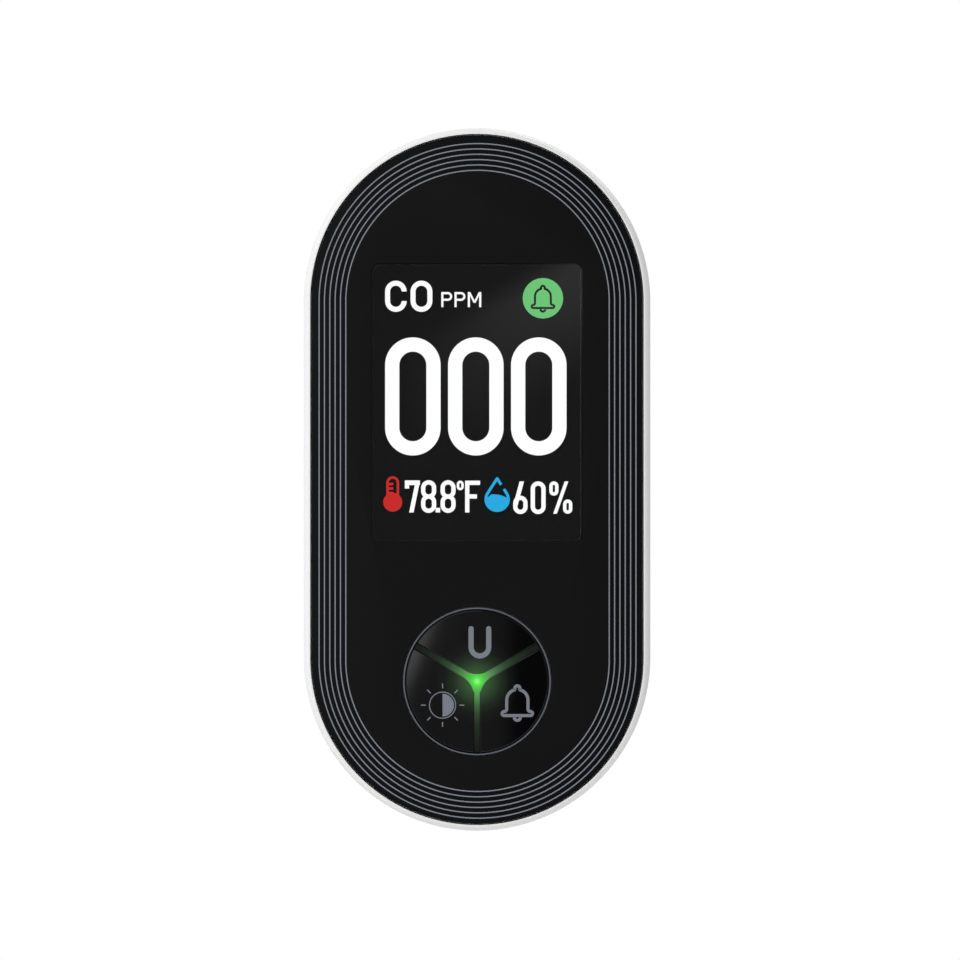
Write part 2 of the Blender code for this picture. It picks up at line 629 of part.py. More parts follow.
def key(name, angle):
    """A key on its slide, with the switch plunger that moves with it, and the fixed switch."""
    x, z = arc((0, 0), SWITCH_CIRCLE, angle, angle, 1)[0]
    centre = (x, z - KEYS_DROP)
    slide = bpy.data.objects.new(f"slide_{name}", None)
    bpy.context.collection.objects.link(slide)
    slide.location = (centre[0], FRONT, centre[1])
    slide.parent = MONITOR

    def moved(outline):
        return [(u - x, v - z) for u, v in outline]

    cap = moved(key_outline(angle))
    eased = moved(key_outline(angle, KEY_EDGE))
    front, step, back = FLANGE_FRONT - FRONT, FLANGE_BACK - FRONT, KEY_BACK - FRONT
    sections = [(eased, -KEY_PROUD), (cap, KEY_EDGE - KEY_PROUD), (cap, back)]
    body = piece(f"key_{name}", "key_black", sections, parent=slide)
    flange = moved(flange_outline(angle))
    post = rod(POST_RADIUS, back - OVERLAP, PLUNGER_TOP - GAP - FRONT)
    shape(body, "UNION", [[(flange, front), (flange, step)], post])

    sunk = SWITCH_TOP + PLUNGER_SUNK
    plunger = rod(PLUNGER_RADIUS, PLUNGER_TOP - FRONT, sunk - FRONT)
    piece(f"plunger_{name}", "grey_plastic", plunger, parent=slide)

    at = (centre[0], SWITCH_FOOT, centre[1])
    switch = block(f"switch_{name}", "black_plastic", (SWITCH_SIDE, SWITCH_HEIGHT, SWITCH_SIDE), at)
    floor = sunk + KEY_TRAVEL + GAP - SWITCH_FOOT
    shape(switch, "DIFFERENCE", [rod(PLUNGER_RADIUS + GAP, -SWITCH_HEIGHT - PASS, floor)])


# ---- main board ----
def main_board():
    outline = stadium(board_radius())
    board = piece("main_board", "board_green", [(outline, BOARD_FRONT), (outline, BOARD_BACK)])
    past = (BOARD_FRONT - PASS, BOARD_BACK + PASS)
    cuts = [rod(CASE_BOSS_RADIUS + GAP, *past, at) for at in case_screw_places()]
    cuts += [rod(SMALL_SHAFT + GAP, *past, at) for at in board_screw_places()]
    slot = (FLEX_WIDTH + 4 * GAP, FLEX_THICK + 4 * GAP)
    cuts.append(bar(*slot, *past, (FLEX_PLACE, flex_middle())))
    shape(board, "DIFFERENCE", cuts)

    on_back("controller_chip", "chip_black", CONTROLLER_SIZE, CONTROLLER_PLACE)
    on_back("humidity_sensor", "chip_black", HUMIDITY_SIZE, HUMIDITY_PLACE)


def on_back(name, material, size, at):
    """A cuboid part on the back of the main board, whose place (x, z) is measured from the body's centre."""
    width, height, tall = size
    block(name, material, (width, -height, tall), (at[0], BOARD_BACK + GAP, at[1]))


def gas_sensor():
    foot = BOARD_BACK + GAP
    at = (SENSOR_PLACE[0], foot, SENSOR_PLACE[1])
    edge = SENSOR_CAP_LIP
    can = [(circle(SENSOR_RADIUS - edge), 0), (circle(SENSOR_RADIUS), edge)]
    can += [(circle(SENSOR_RADIUS), SENSOR_LENGTH - edge), (circle(SENSOR_RADIUS - edge), SENSOR_LENGTH)]
    piece("co_sensor_can", "steel", can, at)

    start = SENSOR_LENGTH + GAP
    end = start + SENSOR_CAP_LENGTH
    pocket = FILTER_RADIUS + GAP
    floor = end - SENSOR_CAP_FLOOR
    rim = SENSOR_RADIUS + SENSOR_CAP_LIP
    profile = [(pocket, start), (rim, start), (rim, end), (SENSOR_INLET, end), (SENSOR_INLET, floor)]
    profile.append((pocket, floor))
    piece("co_sensor_cap", "grey_plastic", [(circle(r), y) for r, y in profile], at, closed=True)
    piece("sensor_filter", "felt", rod(FILTER_RADIUS, start + GAP, start + GAP + FILTER_THICK), at)


def buzzer():
    at = (0, BOARD_BACK + GAP, -BUZZER_DROP)
    inside, top = BUZZER_RADIUS - BUZZER_WALL, BUZZER_LENGTH
    profile = [(inside, 0), (BUZZER_RADIUS, 0), (BUZZER_RADIUS, top), (BUZZER_MOUTH, top)]
    profile += [(BUZZER_MOUTH, top - BUZZER_WALL), (inside, top - BUZZER_WALL)]
    piece("buzzer_housing", "black_plastic", [(circle(r), y) for r, y in profile], at, closed=True)
    disc = rod(inside - GAP, BUZZER_DISC_DEPTH, BUZZER_DISC_DEPTH + BUZZER_DISC_THICK)
    piece("buzzer_disc", "brass", disc, at)


# ---- plug and power board ----
def plug():
    wide = BLADE_SPACING + BLADE_THICK + 2 * HOLDER_MARGIN
    tall = BLADE_WIDTH + HOLDER_MARGIN
    at = (0, HOLDER_BACK, PLUG_RISE)
    holder = block("blade_holder", "black_plastic", (wide, HOLDER_THICK, tall), at, HOLDER_MARGIN / 2)
    slots = [
        bar(BLADE_THICK + 2 * GAP, BLADE_WIDTH + 2 * GAP, -HOLDER_THICK - PASS, PASS, (x, 0))
        for x, _ in blade_places()
    ]
    shape(holder, "DIFFERENCE", slots)

    blade = rectangle(BLADE_THICK, BLADE_WIDTH)
    tail = rectangle(TAIL_THICK, TAIL_WIDTH)
    tip = rectangle(BLADE_THICK - BLADE_TIP / 2, BLADE_WIDTH - 2 * BLADE_TIP)
    shoulder = HOLDER_FRONT + GAP
    sections = [(tail, POWER_FRONT - TAIL_PROUD), (tail, shoulder), (blade, shoulder)]
    sections += [(blade, BLADE_REACH - BLADE_TIP), (tip, BLADE_REACH)]
    hole = [rod(BLADE_HOLE, -PASS, PASS, (BLADE_HOLE_REACH, 0))]
    for name, (x, z) in zip(("blade_left", "blade_right"), blade_places()):
        obj = piece(name, "nickel", sections, (x, 0, z))
        shape(obj, "DIFFERENCE", hole, Matrix.Rotation(math.pi / 2, 4, "Z"))


def power_board():
    size = (POWER_WIDTH, BOARD_THICK, POWER_HEIGHT)
    board = block("power_board", "board_tan", size, (0, POWER_BACK, PLUG_RISE))
    past = (-BOARD_THICK - PASS, PASS)
    cuts = [bar(TAIL_THICK + 2 * GAP, TAIL_WIDTH + 2 * GAP, *past, (x, 0)) for x, _ in blade_places()]
    cuts += [rod(SMALL_SHAFT + GAP, *past, (x, 0)) for x, _ in power_screw_places()]
    shape(board, "DIFFERENCE", cuts)

    transformer()
    for name, (radius, height, x, z) in CAPACITORS.items():
        can(name, radius * MM, height * MM, on_power(x * MM, z * MM))
    piece("fuse", "fuse_brown", rod(FUSE_RADIUS, 0, -FUSE_HEIGHT), on_power(*FUSE_PLACE))
    block("rectifier", "chip_black", RECTIFIER_SIZE, on_power(*RECTIFIER_PLACE))
    block("power_chip", "chip_black", POWER_CHIP_SIZE, on_power(*POWER_CHIP_PLACE))
    block("y_capacitor", "blue_epoxy", DISC_SIZE, on_power(*DISC_PLACE), DISC_CORNER)

    link = block("board_link", "black_plastic", LINK_BLOCK, on_power(*LINK_PLACE))
    reach = BOARD_BACK - POWER_FRONT + 2 * GAP
    pins = []
    for i in range(LINK_PINS):
        x = LINK_PITCH * (i - (LINK_PINS - 1) / 2)
        pins.append(bar(LINK_PIN_SIDE, LINK_PIN_SIDE, -OVERLAP, reach, (x, 0)))
    shape(link, "UNION", pins)


def on_power(x, z):
    """A part's place on the front of the power board, measured from the plug's centre."""
    return (x, POWER_FRONT - GAP, PLUG_RISE + z)


def transformer():
    """A wound coil that stands in a ferrite frame."""
    at = on_power(*TRANSFORMER_PLACE)
    wide, tall = CORE_SIZE
    inside = rectangle(wide - 2 * CORE_LEG, tall - 2 * CORE_LEG)
    outside = rectangle(wide, tall)
    low, high = -CORE_LIFT, -CORE_LIFT - CORE_THICK
    frame = [(inside, high), (outside, high), (outside, low), (inside, low)]
    piece("transformer_core", "ferrite", frame, at, closed=True)
    spare = 2 * CORE_LEG + 2 * GAP
    block("transformer_coil", "coil_tape", (wide - spare, COIL_HEIGHT, tall - spare), at, GAP)


def can(name, radius, height, at):
    """An electrolytic capacitor: a sleeve with eased ends and a groove near its foot."""
    ease = radius / 10
    profile = [(radius - ease, 0), (radius, ease), (radius, 3 * ease), (radius - ease, 4 * ease)]
    profile += [(radius, 5 * ease), (radius, height - ease), (radius - ease, height)]
    piece(name, "sleeve_black", [(circle(r, steps=20), -y) for r, y in profile], at)


# ---- screws and label ----
def screw_mesh(name, shaft, head, head_height, length):
    """A pan-head screw whose shaft runs towards -Y from under its head, with a cross in the head."""
    steps = ROUND_STEPS // 2
    ease = head_height / 4
    point = shaft / 3
    profile = [(point, -length), (shaft, point - length), (shaft, 0), (head, 0), (head, head_height - ease)]
    profile.append((head - ease, head_height))
    blank = piece(name, "steel", [(circle(r, steps=steps), y) for r, y in profile])
    wide, thin = CROSS_LENGTH * head, CROSS_WIDTH * head
    floor = CROSS_FLOOR * head_height
    shape(blank, "DIFFERENCE", [bar(wide, thin, floor, head_height + PASS)])
    shape(blank, "DIFFERENCE", [bar(thin, wide, floor, head_height + PASS)])
    graph = bpy.context.evaluated_depsgraph_get()
    mesh = bpy.data.meshes.new_from_object(blank.evaluated_get(graph))
    mesh.name = name
    for modifier in blank.modifiers:
        bpy.data.objects.remove(modifier.object)
    bpy.data.objects.remove(blank)
    return mesh


def screws():
    case = screw_mesh("case_screw", CASE_SHAFT, CASE_HEAD, CASE_HEAD_HEIGHT, CASE_SCREW_LENGTH)
    seat = -CASE_HEAD_RECESS + GAP
    for i, (x, z) in enumerate(case_screw_places(), 1):
        place(f"case_screw_{i}", case, "steel", (x, seat, z))
    small = screw_mesh("small_screw", SMALL_SHAFT, SMALL_HEAD, SMALL_HEAD_HEIGHT, SMALL_SCREW_LENGTH)
    for i, (x, z) in enumerate(board_screw_places(), 1):
        place(f"board_screw_{i}", small, "steel", (x, BOARD_BACK + GAP, z))
    for i, (x, z) in enumerate(power_screw_places(), 1):
        screw = place(f"power_screw_{i}", small, "steel", (x, POWER_FRONT - GAP, z))
        screw.rotation_euler = (0, 0, math.pi)


def rating_label():
    """A blank label in its recess in the back."""
    outline = rounded(LABEL_WIDTH, LABEL_HEIGHT, LABEL_CORNER)
    piece("rating_label", "label", [(outline, -LABEL_THICK), (outline, 0)], (0, 0, -LABEL_DROP))


# ---- materials: colour, roughness, metallic ----
FINISHES = {
    "white_plastic": ((0.84, 0.84, 0.83), 0.42, 0),
    "black_gloss": ((0.009, 0.009, 0.009), 0.16, 0),
    "key_black": ((0.008, 0.008, 0.009), 0.22, 0),
    "tape": ((0.30, 0.30, 0.30), 0.9, 0),
    "clear_plastic": ((0.02, 0.02, 0.022), 0.06, 0),
    "display_glass": ((0.01, 0.01, 0.012), 0.1, 0),
    "pale_plastic": ((0.80, 0.80, 0.77), 0.5, 0),
    "grey_plastic": ((0.22, 0.22, 0.23), 0.5, 0),
    "black_plastic": ((0.02, 0.02, 0.02), 0.5, 0),
    "flex": ((0.35, 0.16, 0.03), 0.4, 0),
    "satin_grey": ((0.13, 0.14, 0.17), 0.35, 1),
    "light_guide": ((0.10, 0.45, 0.12), 0.3, 0),
    "board_green": ((0.01, 0.09, 0.03), 0.4, 0),
    "board_tan": ((0.42, 0.30, 0.12), 0.6, 0),
    "chip_black": ((0.015, 0.015, 0.016), 0.45, 0),
    "steel": ((0.55, 0.55, 0.56), 0.3, 1),
    "nickel": ((0.66, 0.63, 0.58), 0.25, 1),
    "brass": ((0.62, 0.45, 0.14), 0.3, 1),
    "ferrite": ((0.05, 0.05, 0.055), 0.7, 0),
    "coil_tape": ((0.72, 0.52, 0.05), 0.5, 0),
    "sleeve_black": ((0.02, 0.02, 0.03), 0.35, 0),
    "fuse_brown": ((0.16, 0.06, 0.03), 0.5, 0),
    "blue_epoxy": ((0.02, 0.13, 0.40), 0.35, 0),
    "felt": ((0.03, 0.03, 0.03), 1.0, 0),
    "label": ((0.70, 0.70, 0.70), 0.5, 0),
}


def finish(name, colour, roughness, metallic):
    material = bpy.data.materials.new(name)
    material.use_nodes = True
    shader = material.node_tree.nodes["Principled BSDF"]
    shader.inputs["Base Color"].default_value = (*colour, 1)
    shader.inputs["Roughness"].default_value = roughness
    shader.inputs["Metallic"].default_value = metallic
    return material


for old in list(bpy.data.objects):
    bpy.data.objects.remove(old)
MATERIALS = {name: finish(name, *values) for name, values in FINISHES.items()}
MONITOR = bpy.data.objects.new("monitor", None)
bpy.context.collection.objects.link(MONITOR)

front_housing()
rear_housing()
front_panel()
panel_tape()
display_window()
display()
display_flex()
key_ring()
light_guide()
for key_name, key_angle in KEY_PLACES.items():
    key(key_name, key_angle)
main_board()
gas_sensor()
buzzer()
plug()
power_board()
screws()
rating_label()
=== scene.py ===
# %% [markdown]
# # A plug-in carbon monoxide monitor
#
# The object is a pill-shaped plastic housing with a black front, a colour display behind a clear window, and
# three keys round a glowing Y. It hangs on its own plug blades. The engineering model is loaded first, as a
# fixed frame. What can be seen is then made again with finer curves, in the same place, and what lies inside
# keeps its engineering shape and gets a real finish.

# %% Load the engineering model
import math

import bmesh
import bpy
from mathutils import Matrix, Vector


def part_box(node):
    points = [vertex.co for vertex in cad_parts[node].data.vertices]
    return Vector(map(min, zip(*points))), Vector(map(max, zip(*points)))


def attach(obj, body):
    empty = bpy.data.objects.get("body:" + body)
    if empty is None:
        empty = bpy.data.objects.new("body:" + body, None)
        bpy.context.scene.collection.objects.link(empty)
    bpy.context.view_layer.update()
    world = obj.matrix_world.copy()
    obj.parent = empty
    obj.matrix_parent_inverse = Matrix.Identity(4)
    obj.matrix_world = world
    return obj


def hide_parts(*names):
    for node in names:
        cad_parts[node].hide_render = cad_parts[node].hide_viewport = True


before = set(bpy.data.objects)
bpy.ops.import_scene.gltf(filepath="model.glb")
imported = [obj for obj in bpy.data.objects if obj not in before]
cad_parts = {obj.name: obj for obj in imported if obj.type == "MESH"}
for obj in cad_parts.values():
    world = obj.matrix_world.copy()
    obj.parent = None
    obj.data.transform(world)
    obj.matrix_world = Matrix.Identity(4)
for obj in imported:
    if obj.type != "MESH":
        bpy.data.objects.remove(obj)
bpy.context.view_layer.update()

# %% [markdown]
# ## Sizes
#
# A finer piece has to fit the engineering model exactly. Its overall sizes could be typed in again, but then
# they could go wrong, so they are read from the boxes of the engineering pieces. Only what a box can't tell,
# such as a wall or a rounding, is written here, in millimetres.

# %% Sizes read from the frame, and small sizes
MM = 0.001


def middle(node):
    """The centre of an engineering piece's box."""
    low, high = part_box(node)
    return (low + high) / 2


housing_low, housing_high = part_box("front_housing")
FRONT = housing_low.y
JOINT = housing_high.y
BODY_RADIUS = housing_high.x
END = housing_high.z - BODY_RADIUS
PANEL_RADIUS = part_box("front_panel")[1].x
PANEL_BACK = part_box("front_panel")[1].y
GAP = 0.3 * MM  # between pieces that rest on each other, as in the engineering model
WEB_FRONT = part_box("panel_tape")[1].y + GAP
WEB_BACK = WEB_FRONT + 1.5 * MM
BOARD_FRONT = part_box("main_board")[0].y
GLASS_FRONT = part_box("lcd_glass")[0].y
KEYS = middle("key_ring")
KEY_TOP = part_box("key_units")[0].y
KEY_RADIUS = 12.3 * MM
WALL = 2.0 * MM
ROOT = 0.5 * MM  # how far a boss runs into the wall that it grows from
PAST = 5 * MM  # how far a cutter stands out of the piece, where there is room
FINE = 128  # steps round a circle
print("half width", round(BODY_RADIUS / MM, 3), "half straight", round(END / MM, 3), "key centre", KEYS)

# %% [markdown]
# ## Shader maths written as sums
#
# A finish needs arithmetic: a distance, a mask, a mix. Node by node that is slow to write and to read. Here a
# small class wraps a socket, so that `1 - mask * 0.3` adds the Math nodes itself. Every other node comes from
# one method, which takes the node's type, its settings and what goes into its sockets.


# %% A socket that sums can be written on
class Signal:
    """An output of a node, on which sums can be written."""

    def __init__(self, nodes, socket):
        self.nodes, self.socket = nodes, socket

    def maths(self, operation, *others):
        return self.nodes.add("Math", {"operation": operation}, dict(enumerate((self, *others))))

    def __add__(self, other):
        return self.maths("ADD", other)

    def __mul__(self, other):
        return self.maths("MULTIPLY", other)

    def __sub__(self, other):
        return self.maths("SUBTRACT", other)

    def __rsub__(self, other):
        return self * -1 + other

    def __abs__(self):
        return self.maths("ABSOLUTE")

    __radd__ = __add__
    __rmul__ = __mul__

    def step(self, start, end):
        """0 below start, 1 above end, and a smooth climb between them."""
        settings = {"interpolation_type": "SMOOTHSTEP"}
        return self.nodes.add("MapRange", settings, {"Value": self, "From Min": start, "From Max": end})


class Nodes:
    """The nodes of a finish or of the surroundings."""

    def __init__(self, tree):
        self.tree = tree

    def add(self, kind, settings=None, inputs=None, output=0):
        made = self.tree.nodes.new("ShaderNode" + kind)
        for name, value in (settings or {}).items():
            if name == "stops":
                self.set_stops(made.color_ramp, value)
            else:
                setattr(made, name, value)
        for name, value in (inputs or {}).items():
            self.feed(made.inputs[name], value)
        return Signal(self, made.outputs[output])

    def feed(self, socket, value):
        if isinstance(value, Signal):
            self.tree.links.new(value.socket, socket)
        else:
            socket.default_value = value

    def set_stops(self, ramp, stops):
        while len(ramp.elements) < len(stops):
            ramp.elements.new(0.5)
        for element, (place, colour) in zip(ramp.elements, stops):
            element.position = place
            element.color = colour

    def split(self, vector):
        parts = self.add("SeparateXYZ", inputs={0: vector}).socket.node.outputs
        return [Signal(self, part) for part in parts]

    def mix(self, share, first, second):
        """A colour between two, by a share."""
        made = self.tree.nodes.new("ShaderNodeMix")
        made.data_type = "RGBA"
        for index, value in ((0, share), (6, first), (7, second)):
            self.feed(made.inputs[index], value)
        return Signal(self, made.outputs[2])

    def place(self):
        """Object coordinates, in metres on a piece whose object is at the origin."""
        return self.add("TexCoord", output="Object")

    def noise(self, size, detail=2.0, roughness=0.5):
        """Soft mottling whose patches are about this size."""
        inputs = {"Vector": self.place(), "Scale": 1 / size, "Detail": detail, "Roughness": roughness}
        return self.add("TexNoise", inputs=inputs)


def light(red, green, blue):
    """A screen colour, 0 to 255, as linear light."""
    channels = []
    for value in (red / 255, green / 255, blue / 255):
        channels.append(value / 12.92 if value <= 0.04045 else ((value + 0.055) / 1.055) ** 2.4)
    return (*channels, 1.0)


# %% [markdown]
# ## One way to finish a surface
#
# No moulded or printed surface is one flat colour. Its tone drifts a little, its gloss is broken by a fine
# grain, and that grain can be felt. One function gives any material those three, each at its own scale, and
# the special finishes below build on it.


# %% A finish with tone, gloss and grain
FINISHES = {}


class Finish(Nodes):
    """A material whose Principled shader is fed by nodes."""

    def __init__(self, name):
        self.material = bpy.data.materials.new(name)
        self.material.use_nodes = True
        super().__init__(self.material.node_tree)
        self.shader = self.tree.nodes["Principled BSDF"]
        FINISHES[name] = self.material

    def set(self, **values):
        """Feeds the shader's sockets, whose names are written with _ for a space."""
        for name, value in values.items():
            self.feed(self.shader.inputs[name.replace("_", " ")], value)

    def bump(self, height, distance, strength=1.0):
        inputs = {"Height": height, "Distance": distance, "Strength": strength}
        self.set(Normal=self.add("Bump", inputs=inputs))


def finish(name, colour, gloss=0.4, metal=0.0, drift=0.06, grain=0.15 * MM, depth=0.004 * MM, patch=6 * MM):
    """Tone that drifts over patches, and a grain that breaks the gloss and can be felt."""
    made = Finish(name)
    tone = made.noise(patch, 3.0)
    fine = made.noise(grain, 2.0, 0.6)
    dark = tuple(channel * (1 - drift) for channel in colour[:3]) + (1.0,)
    made.set(Base_Color=made.mix(tone.step(0.3, 0.7), dark, colour), Metallic=metal)
    made.set(Roughness=fine * 0.12 + (gloss - 0.06) + tone * 0.04)
    made.bump(fine, depth)
    return made


white = finish("white_plastic", (0.83, 0.83, 0.825, 1), 0.42, drift=0.012, grain=0.25 * MM, depth=0.006 * MM)
print("finish made:", white.material.name)

# %% [markdown]
# ## Carrying a section round the outline
#
# The housing, panel, window, ring and screws are all one kind of shape: a section carried round an outline.
# A circle alone would do for a screw. Its quarters drawn apart give the rest: two halves drawn apart are the
# pill shape of the body, and four quarters drawn apart are a rectangle with round corners. Extruding the
# edge of the outline, and scaling each quarter about its own centre, follows any section exactly.


# %% Outlines from a circle whose quarters stand apart
UPRIGHT = Matrix.Rotation(math.pi / 2, 4, "X")
QUARTERS = ((-1, -1), (-1, 1), (1, -1), (1, 1))


def in_quarter(verts, sx, sz):
    """The points on one side of the middle in X and in Z, given as -1 or 1."""
    return [v for v in verts if (math.copysign(1, v.co.x), math.copysign(1, v.co.z)) == (sx, sz)]


def carried(section, apart=(0.0, 0.0), steps=FINE, closed=False):
    """A solid from its section: (radius, depth) pairs carried round the outline."""
    bm = bmesh.new()
    turn = Matrix.Rotation(math.pi / steps, 4, "Y") @ UPRIGHT
    radius, depth = section[0]
    bmesh.ops.create_circle(bm, segments=steps, radius=radius, cap_ends=not closed, matrix=turn)
    centres = {(sx, sz): Vector((sx * apart[0], 0, sz * apart[1])) for sx, sz in QUARTERS}
    quarters = {key: in_quarter(bm.verts, *key) for key in QUARTERS}
    for key, verts in quarters.items():
        bmesh.ops.translate(bm, verts=verts, vec=centres[key])
    bmesh.ops.translate(bm, verts=bm.verts, vec=(0, depth, 0))
    edges = list(bm.edges)
    path = section[1:] + section[:1] if closed else section[1:]
    for new_radius, new_depth in path:
        grown = bmesh.ops.extrude_edge_only(bm, edges=edges)["geom"]
        verts = [part for part in grown if isinstance(part, bmesh.types.BMVert)]
        edges = [e for e in grown if isinstance(e, bmesh.types.BMEdge) and set(e.verts) <= set(verts)]
        share = new_radius / radius
        for key, centre in centres.items():
            own = in_quarter(verts, *key)
            bmesh.ops.scale(bm, vec=(share, 1, share), space=Matrix.Translation(-centre), verts=own)
        bmesh.ops.translate(bm, verts=verts, vec=(0, new_depth - depth, 0))
        radius, depth = new_radius, new_depth
    if closed:
        bmesh.ops.remove_doubles(bm, verts=bm.verts, dist=0.0005 * MM)
    else:
        bmesh.ops.edgeloop_fill(bm, edges=edges)
    bmesh.ops.recalc_face_normals(bm, faces=bm.faces)
    return bm


def moved(bm, x=0.0, z=0.0, y=0.0):
    bmesh.ops.translate(bm, verts=bm.verts, vec=(x, y, z))
    return bm


def rod(radius, start, end, x=0.0, z=0.0, steps=48):
    return moved(carried([(radius, start), (radius, end)], steps=steps), x, z)


def plate(width, height, corner, start, end, x=0.0, z=0.0, steps=48):
    """A flat piece with round corners."""
    apart = (width / 2 - corner, height / 2 - corner)
    return moved(carried([(corner, start), (corner, end)], apart, steps), x, z)


# %% [markdown]
# ## Joining, cutting and putting in place
#
# Openings could be modelled face by face, but a Boolean with the exact solver cuts them as a milling cutter
# would. It runs on two passing objects, and only its result is kept. A finished piece then gets its finish,
# rides on its body, and stands for the engineering piece that it is finer than.


# %% Booleans on meshes, and the way a piece is finished
def mesh_from(bm, name="passing"):
    mesh = bpy.data.meshes.new(name)
    bm.to_mesh(mesh)
    bm.free()
    return mesh


def gathered(parts):
    """Several meshes as one."""
    whole = bmesh.new()
    for part in parts:
        mesh = mesh_from(part)
        whole.from_mesh(mesh)
        bpy.data.meshes.remove(mesh)
    return whole


def combined(bm, operation, parts):
    """Joins bodies to a mesh (UNION) or cuts them from it (DIFFERENCE)."""
    target = bpy.data.objects.new("target", mesh_from(bm))
    tool = bpy.data.objects.new("tool", mesh_from(gathered(parts)))
    for passing in (target, tool):
        bpy.context.scene.collection.objects.link(passing)
    modifier = target.modifiers.new("shape", "BOOLEAN")
    modifier.operation = operation
    modifier.solver = "EXACT"
    modifier.object = tool
    graph = bpy.context.evaluated_depsgraph_get()
    result = bmesh.new()
    result.from_mesh(target.evaluated_get(graph).to_mesh())
    for passing in (target, tool):
        mesh = passing.data
        bpy.data.objects.remove(passing)
        bpy.data.meshes.remove(mesh)
    return result


def rounded(bm, edges, width, steps, clamp=False):
    """Rounds edges; the width is measured from each edge along its faces."""
    bmesh.ops.bevel(
        bm, geom=edges, offset=width, segments=steps, profile=0.5, affect="EDGES", material=-1,
        clamp_overlap=clamp,
    )


def settle(name, bm, finish_name, body="housing", stands_for=(), sharp=32):
    """Makes the finished piece."""
    bmesh.ops.remove_doubles(bm, verts=bm.verts, dist=0.0004 * MM)
    mesh = mesh_from(bm, name)
    assert len(mesh.polygons) > 0, f"{name} came out empty"
    mesh.shade_smooth()
    mesh.set_sharp_from_angle(angle=math.radians(sharp))
    mesh.materials.append(FINISHES[finish_name])
    piece = bpy.data.objects.new(name, mesh)
    bpy.context.scene.collection.objects.link(piece)
    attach(piece, body)
    if stands_for:
        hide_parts(*stands_for)
    return piece


# %% [markdown]
# ## The front housing
#
# On the real object this is one white injection moulding. Its side swells from a thin lip to its widest place
# and then tapers towards the wall, so that it comes out of its mould. Following that curve in many small
# steps gives a clean highlight. The web behind the panel, the screw bosses and the air slots belong to the
# same moulding, so they are joined to it and cut from it.

# %% The body's side, as a curve
FRONT_ROUNDING = 7.0 * MM
LIP_RADIUS = PANEL_RADIUS + 0.4 * MM
RECESS_RADIUS = PANEL_RADIUS + 0.25 * MM
BACK_TAPER = 0.085
TAPER_EASE = 3.0 * MM


def side(depth):
    """Half the body's width at a depth."""
    behind = depth - FRONT
    if behind <= FRONT_ROUNDING:
        swell = BODY_RADIUS - LIP_RADIUS
        return LIP_RADIUS + swell * math.sqrt(1 - (1 - behind / FRONT_ROUNDING) ** 2)
    return BODY_RADIUS - BACK_TAPER * (math.hypot(behind - FRONT_ROUNDING, TAPER_EASE) - TAPER_EASE)


def along(start, end, steps, inset=0.0):
    """The side's section between two depths."""
    depths = [start + (end - start) * i / steps for i in range(steps + 1)]
    return [(side(depth) - inset, depth) for depth in depths]


# %% The front housing's section
SWELL_STEPS = 16
EASE = 0.12 * MM
TONGUE = 1.7 * MM
OUTER_LAP, INNER_LAP = 1.0 * MM, 1.3 * MM  # from the side to the front's lip and to the rear's tongue
RECESS_EASE = (0.04 * MM, 0.05 * MM)  # across and deep
widest = FRONT + FRONT_ROUNDING
tongue_gap = JOINT - TONGUE
section = [(RECESS_RADIUS, WEB_FRONT), (RECESS_RADIUS, FRONT + RECESS_EASE[1])]
section.append((RECESS_RADIUS + RECESS_EASE[0], FRONT))
for i in range(SWELL_STEPS):
    depth = FRONT + FRONT_ROUNDING * (1 - math.cos(math.pi / 2 * i / SWELL_STEPS))
    section.append((side(depth), depth))
section += along(widest, JOINT - EASE, 6)
section += [(side(JOINT) - EASE, JOINT), (side(JOINT) - OUTER_LAP, JOINT)]
section += along(JOINT, tongue_gap, 1, OUTER_LAP)[1:]
section += along(tongue_gap, widest, 4, WALL) + [(side(WEB_BACK) - WALL, WEB_BACK)]
shell = carried(section, (0, END))
print("side and front:", len(section), "points in the section")

# %% Screw bosses
CASE_BOSS, BOARD_BOSS = 3.5 * MM, 2.6 * MM  # their radii
CASE_HOLE, BOARD_HOLE = 1.75 * MM, 1.3 * MM
screws = [middle(f"case_screw_{i}") for i in range(1, 5)]
board_screws = [middle(f"board_screw_{i}") for i in range(1, 5)]
column_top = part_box("rear_housing")[0].y
root = WEB_BACK - ROOT
bosses = [rod(CASE_BOSS, root, column_top - GAP, at.x, at.z) for at in screws]
bosses += [rod(BOARD_BOSS, root, BOARD_FRONT - GAP, at.x, at.z) for at in board_screws]
shell = combined(shell, "UNION", bosses)
print(len(bosses), "bosses")

# %% Openings in the web, and holes in the bosses
window_low, window_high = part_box("display_window")
WINDOW = (window_low + window_high) / 2
FLANGE = 1.6 * MM
WINDOW_WIDTH = window_high.x - window_low.x - 2 * FLANGE
WINDOW_HEIGHT = window_high.z - window_low.z - 2 * FLANGE
WINDOW_CORNER = 1.55 * MM
KEY_HOLE = KEY_RADIUS + 1.4 * MM
web_past = WEB_BACK + GAP
case_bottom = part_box("case_screw_1")[0].y - 2 * GAP
cuts = [plate(WINDOW_WIDTH + FLANGE, WINDOW_HEIGHT + FLANGE, WINDOW_CORNER, FRONT, web_past, z=WINDOW.z)]
cuts.append(rod(KEY_HOLE, FRONT, web_past, z=KEYS.z, steps=96))
cuts += [rod(CASE_HOLE, case_bottom, column_top + 1 * MM, at.x, at.z) for at in screws]
cuts += [rod(BOARD_HOLE, web_past, BOARD_FRONT + PAST, at.x, at.z) for at in board_screws]
shell = combined(shell, "DIFFERENCE", cuts)
print("front housing:", len(shell.faces), "faces before its air slots")

# %% [markdown]
# ## Air slots
#
# Room air reaches the gas sensor through seven slots in each side, and the sounder is heard through five at
# the bottom. Each is a small pill shape, and a loop cuts a row of them straight through the wall. One long
# cutter makes the left and the right slot of a pair together.

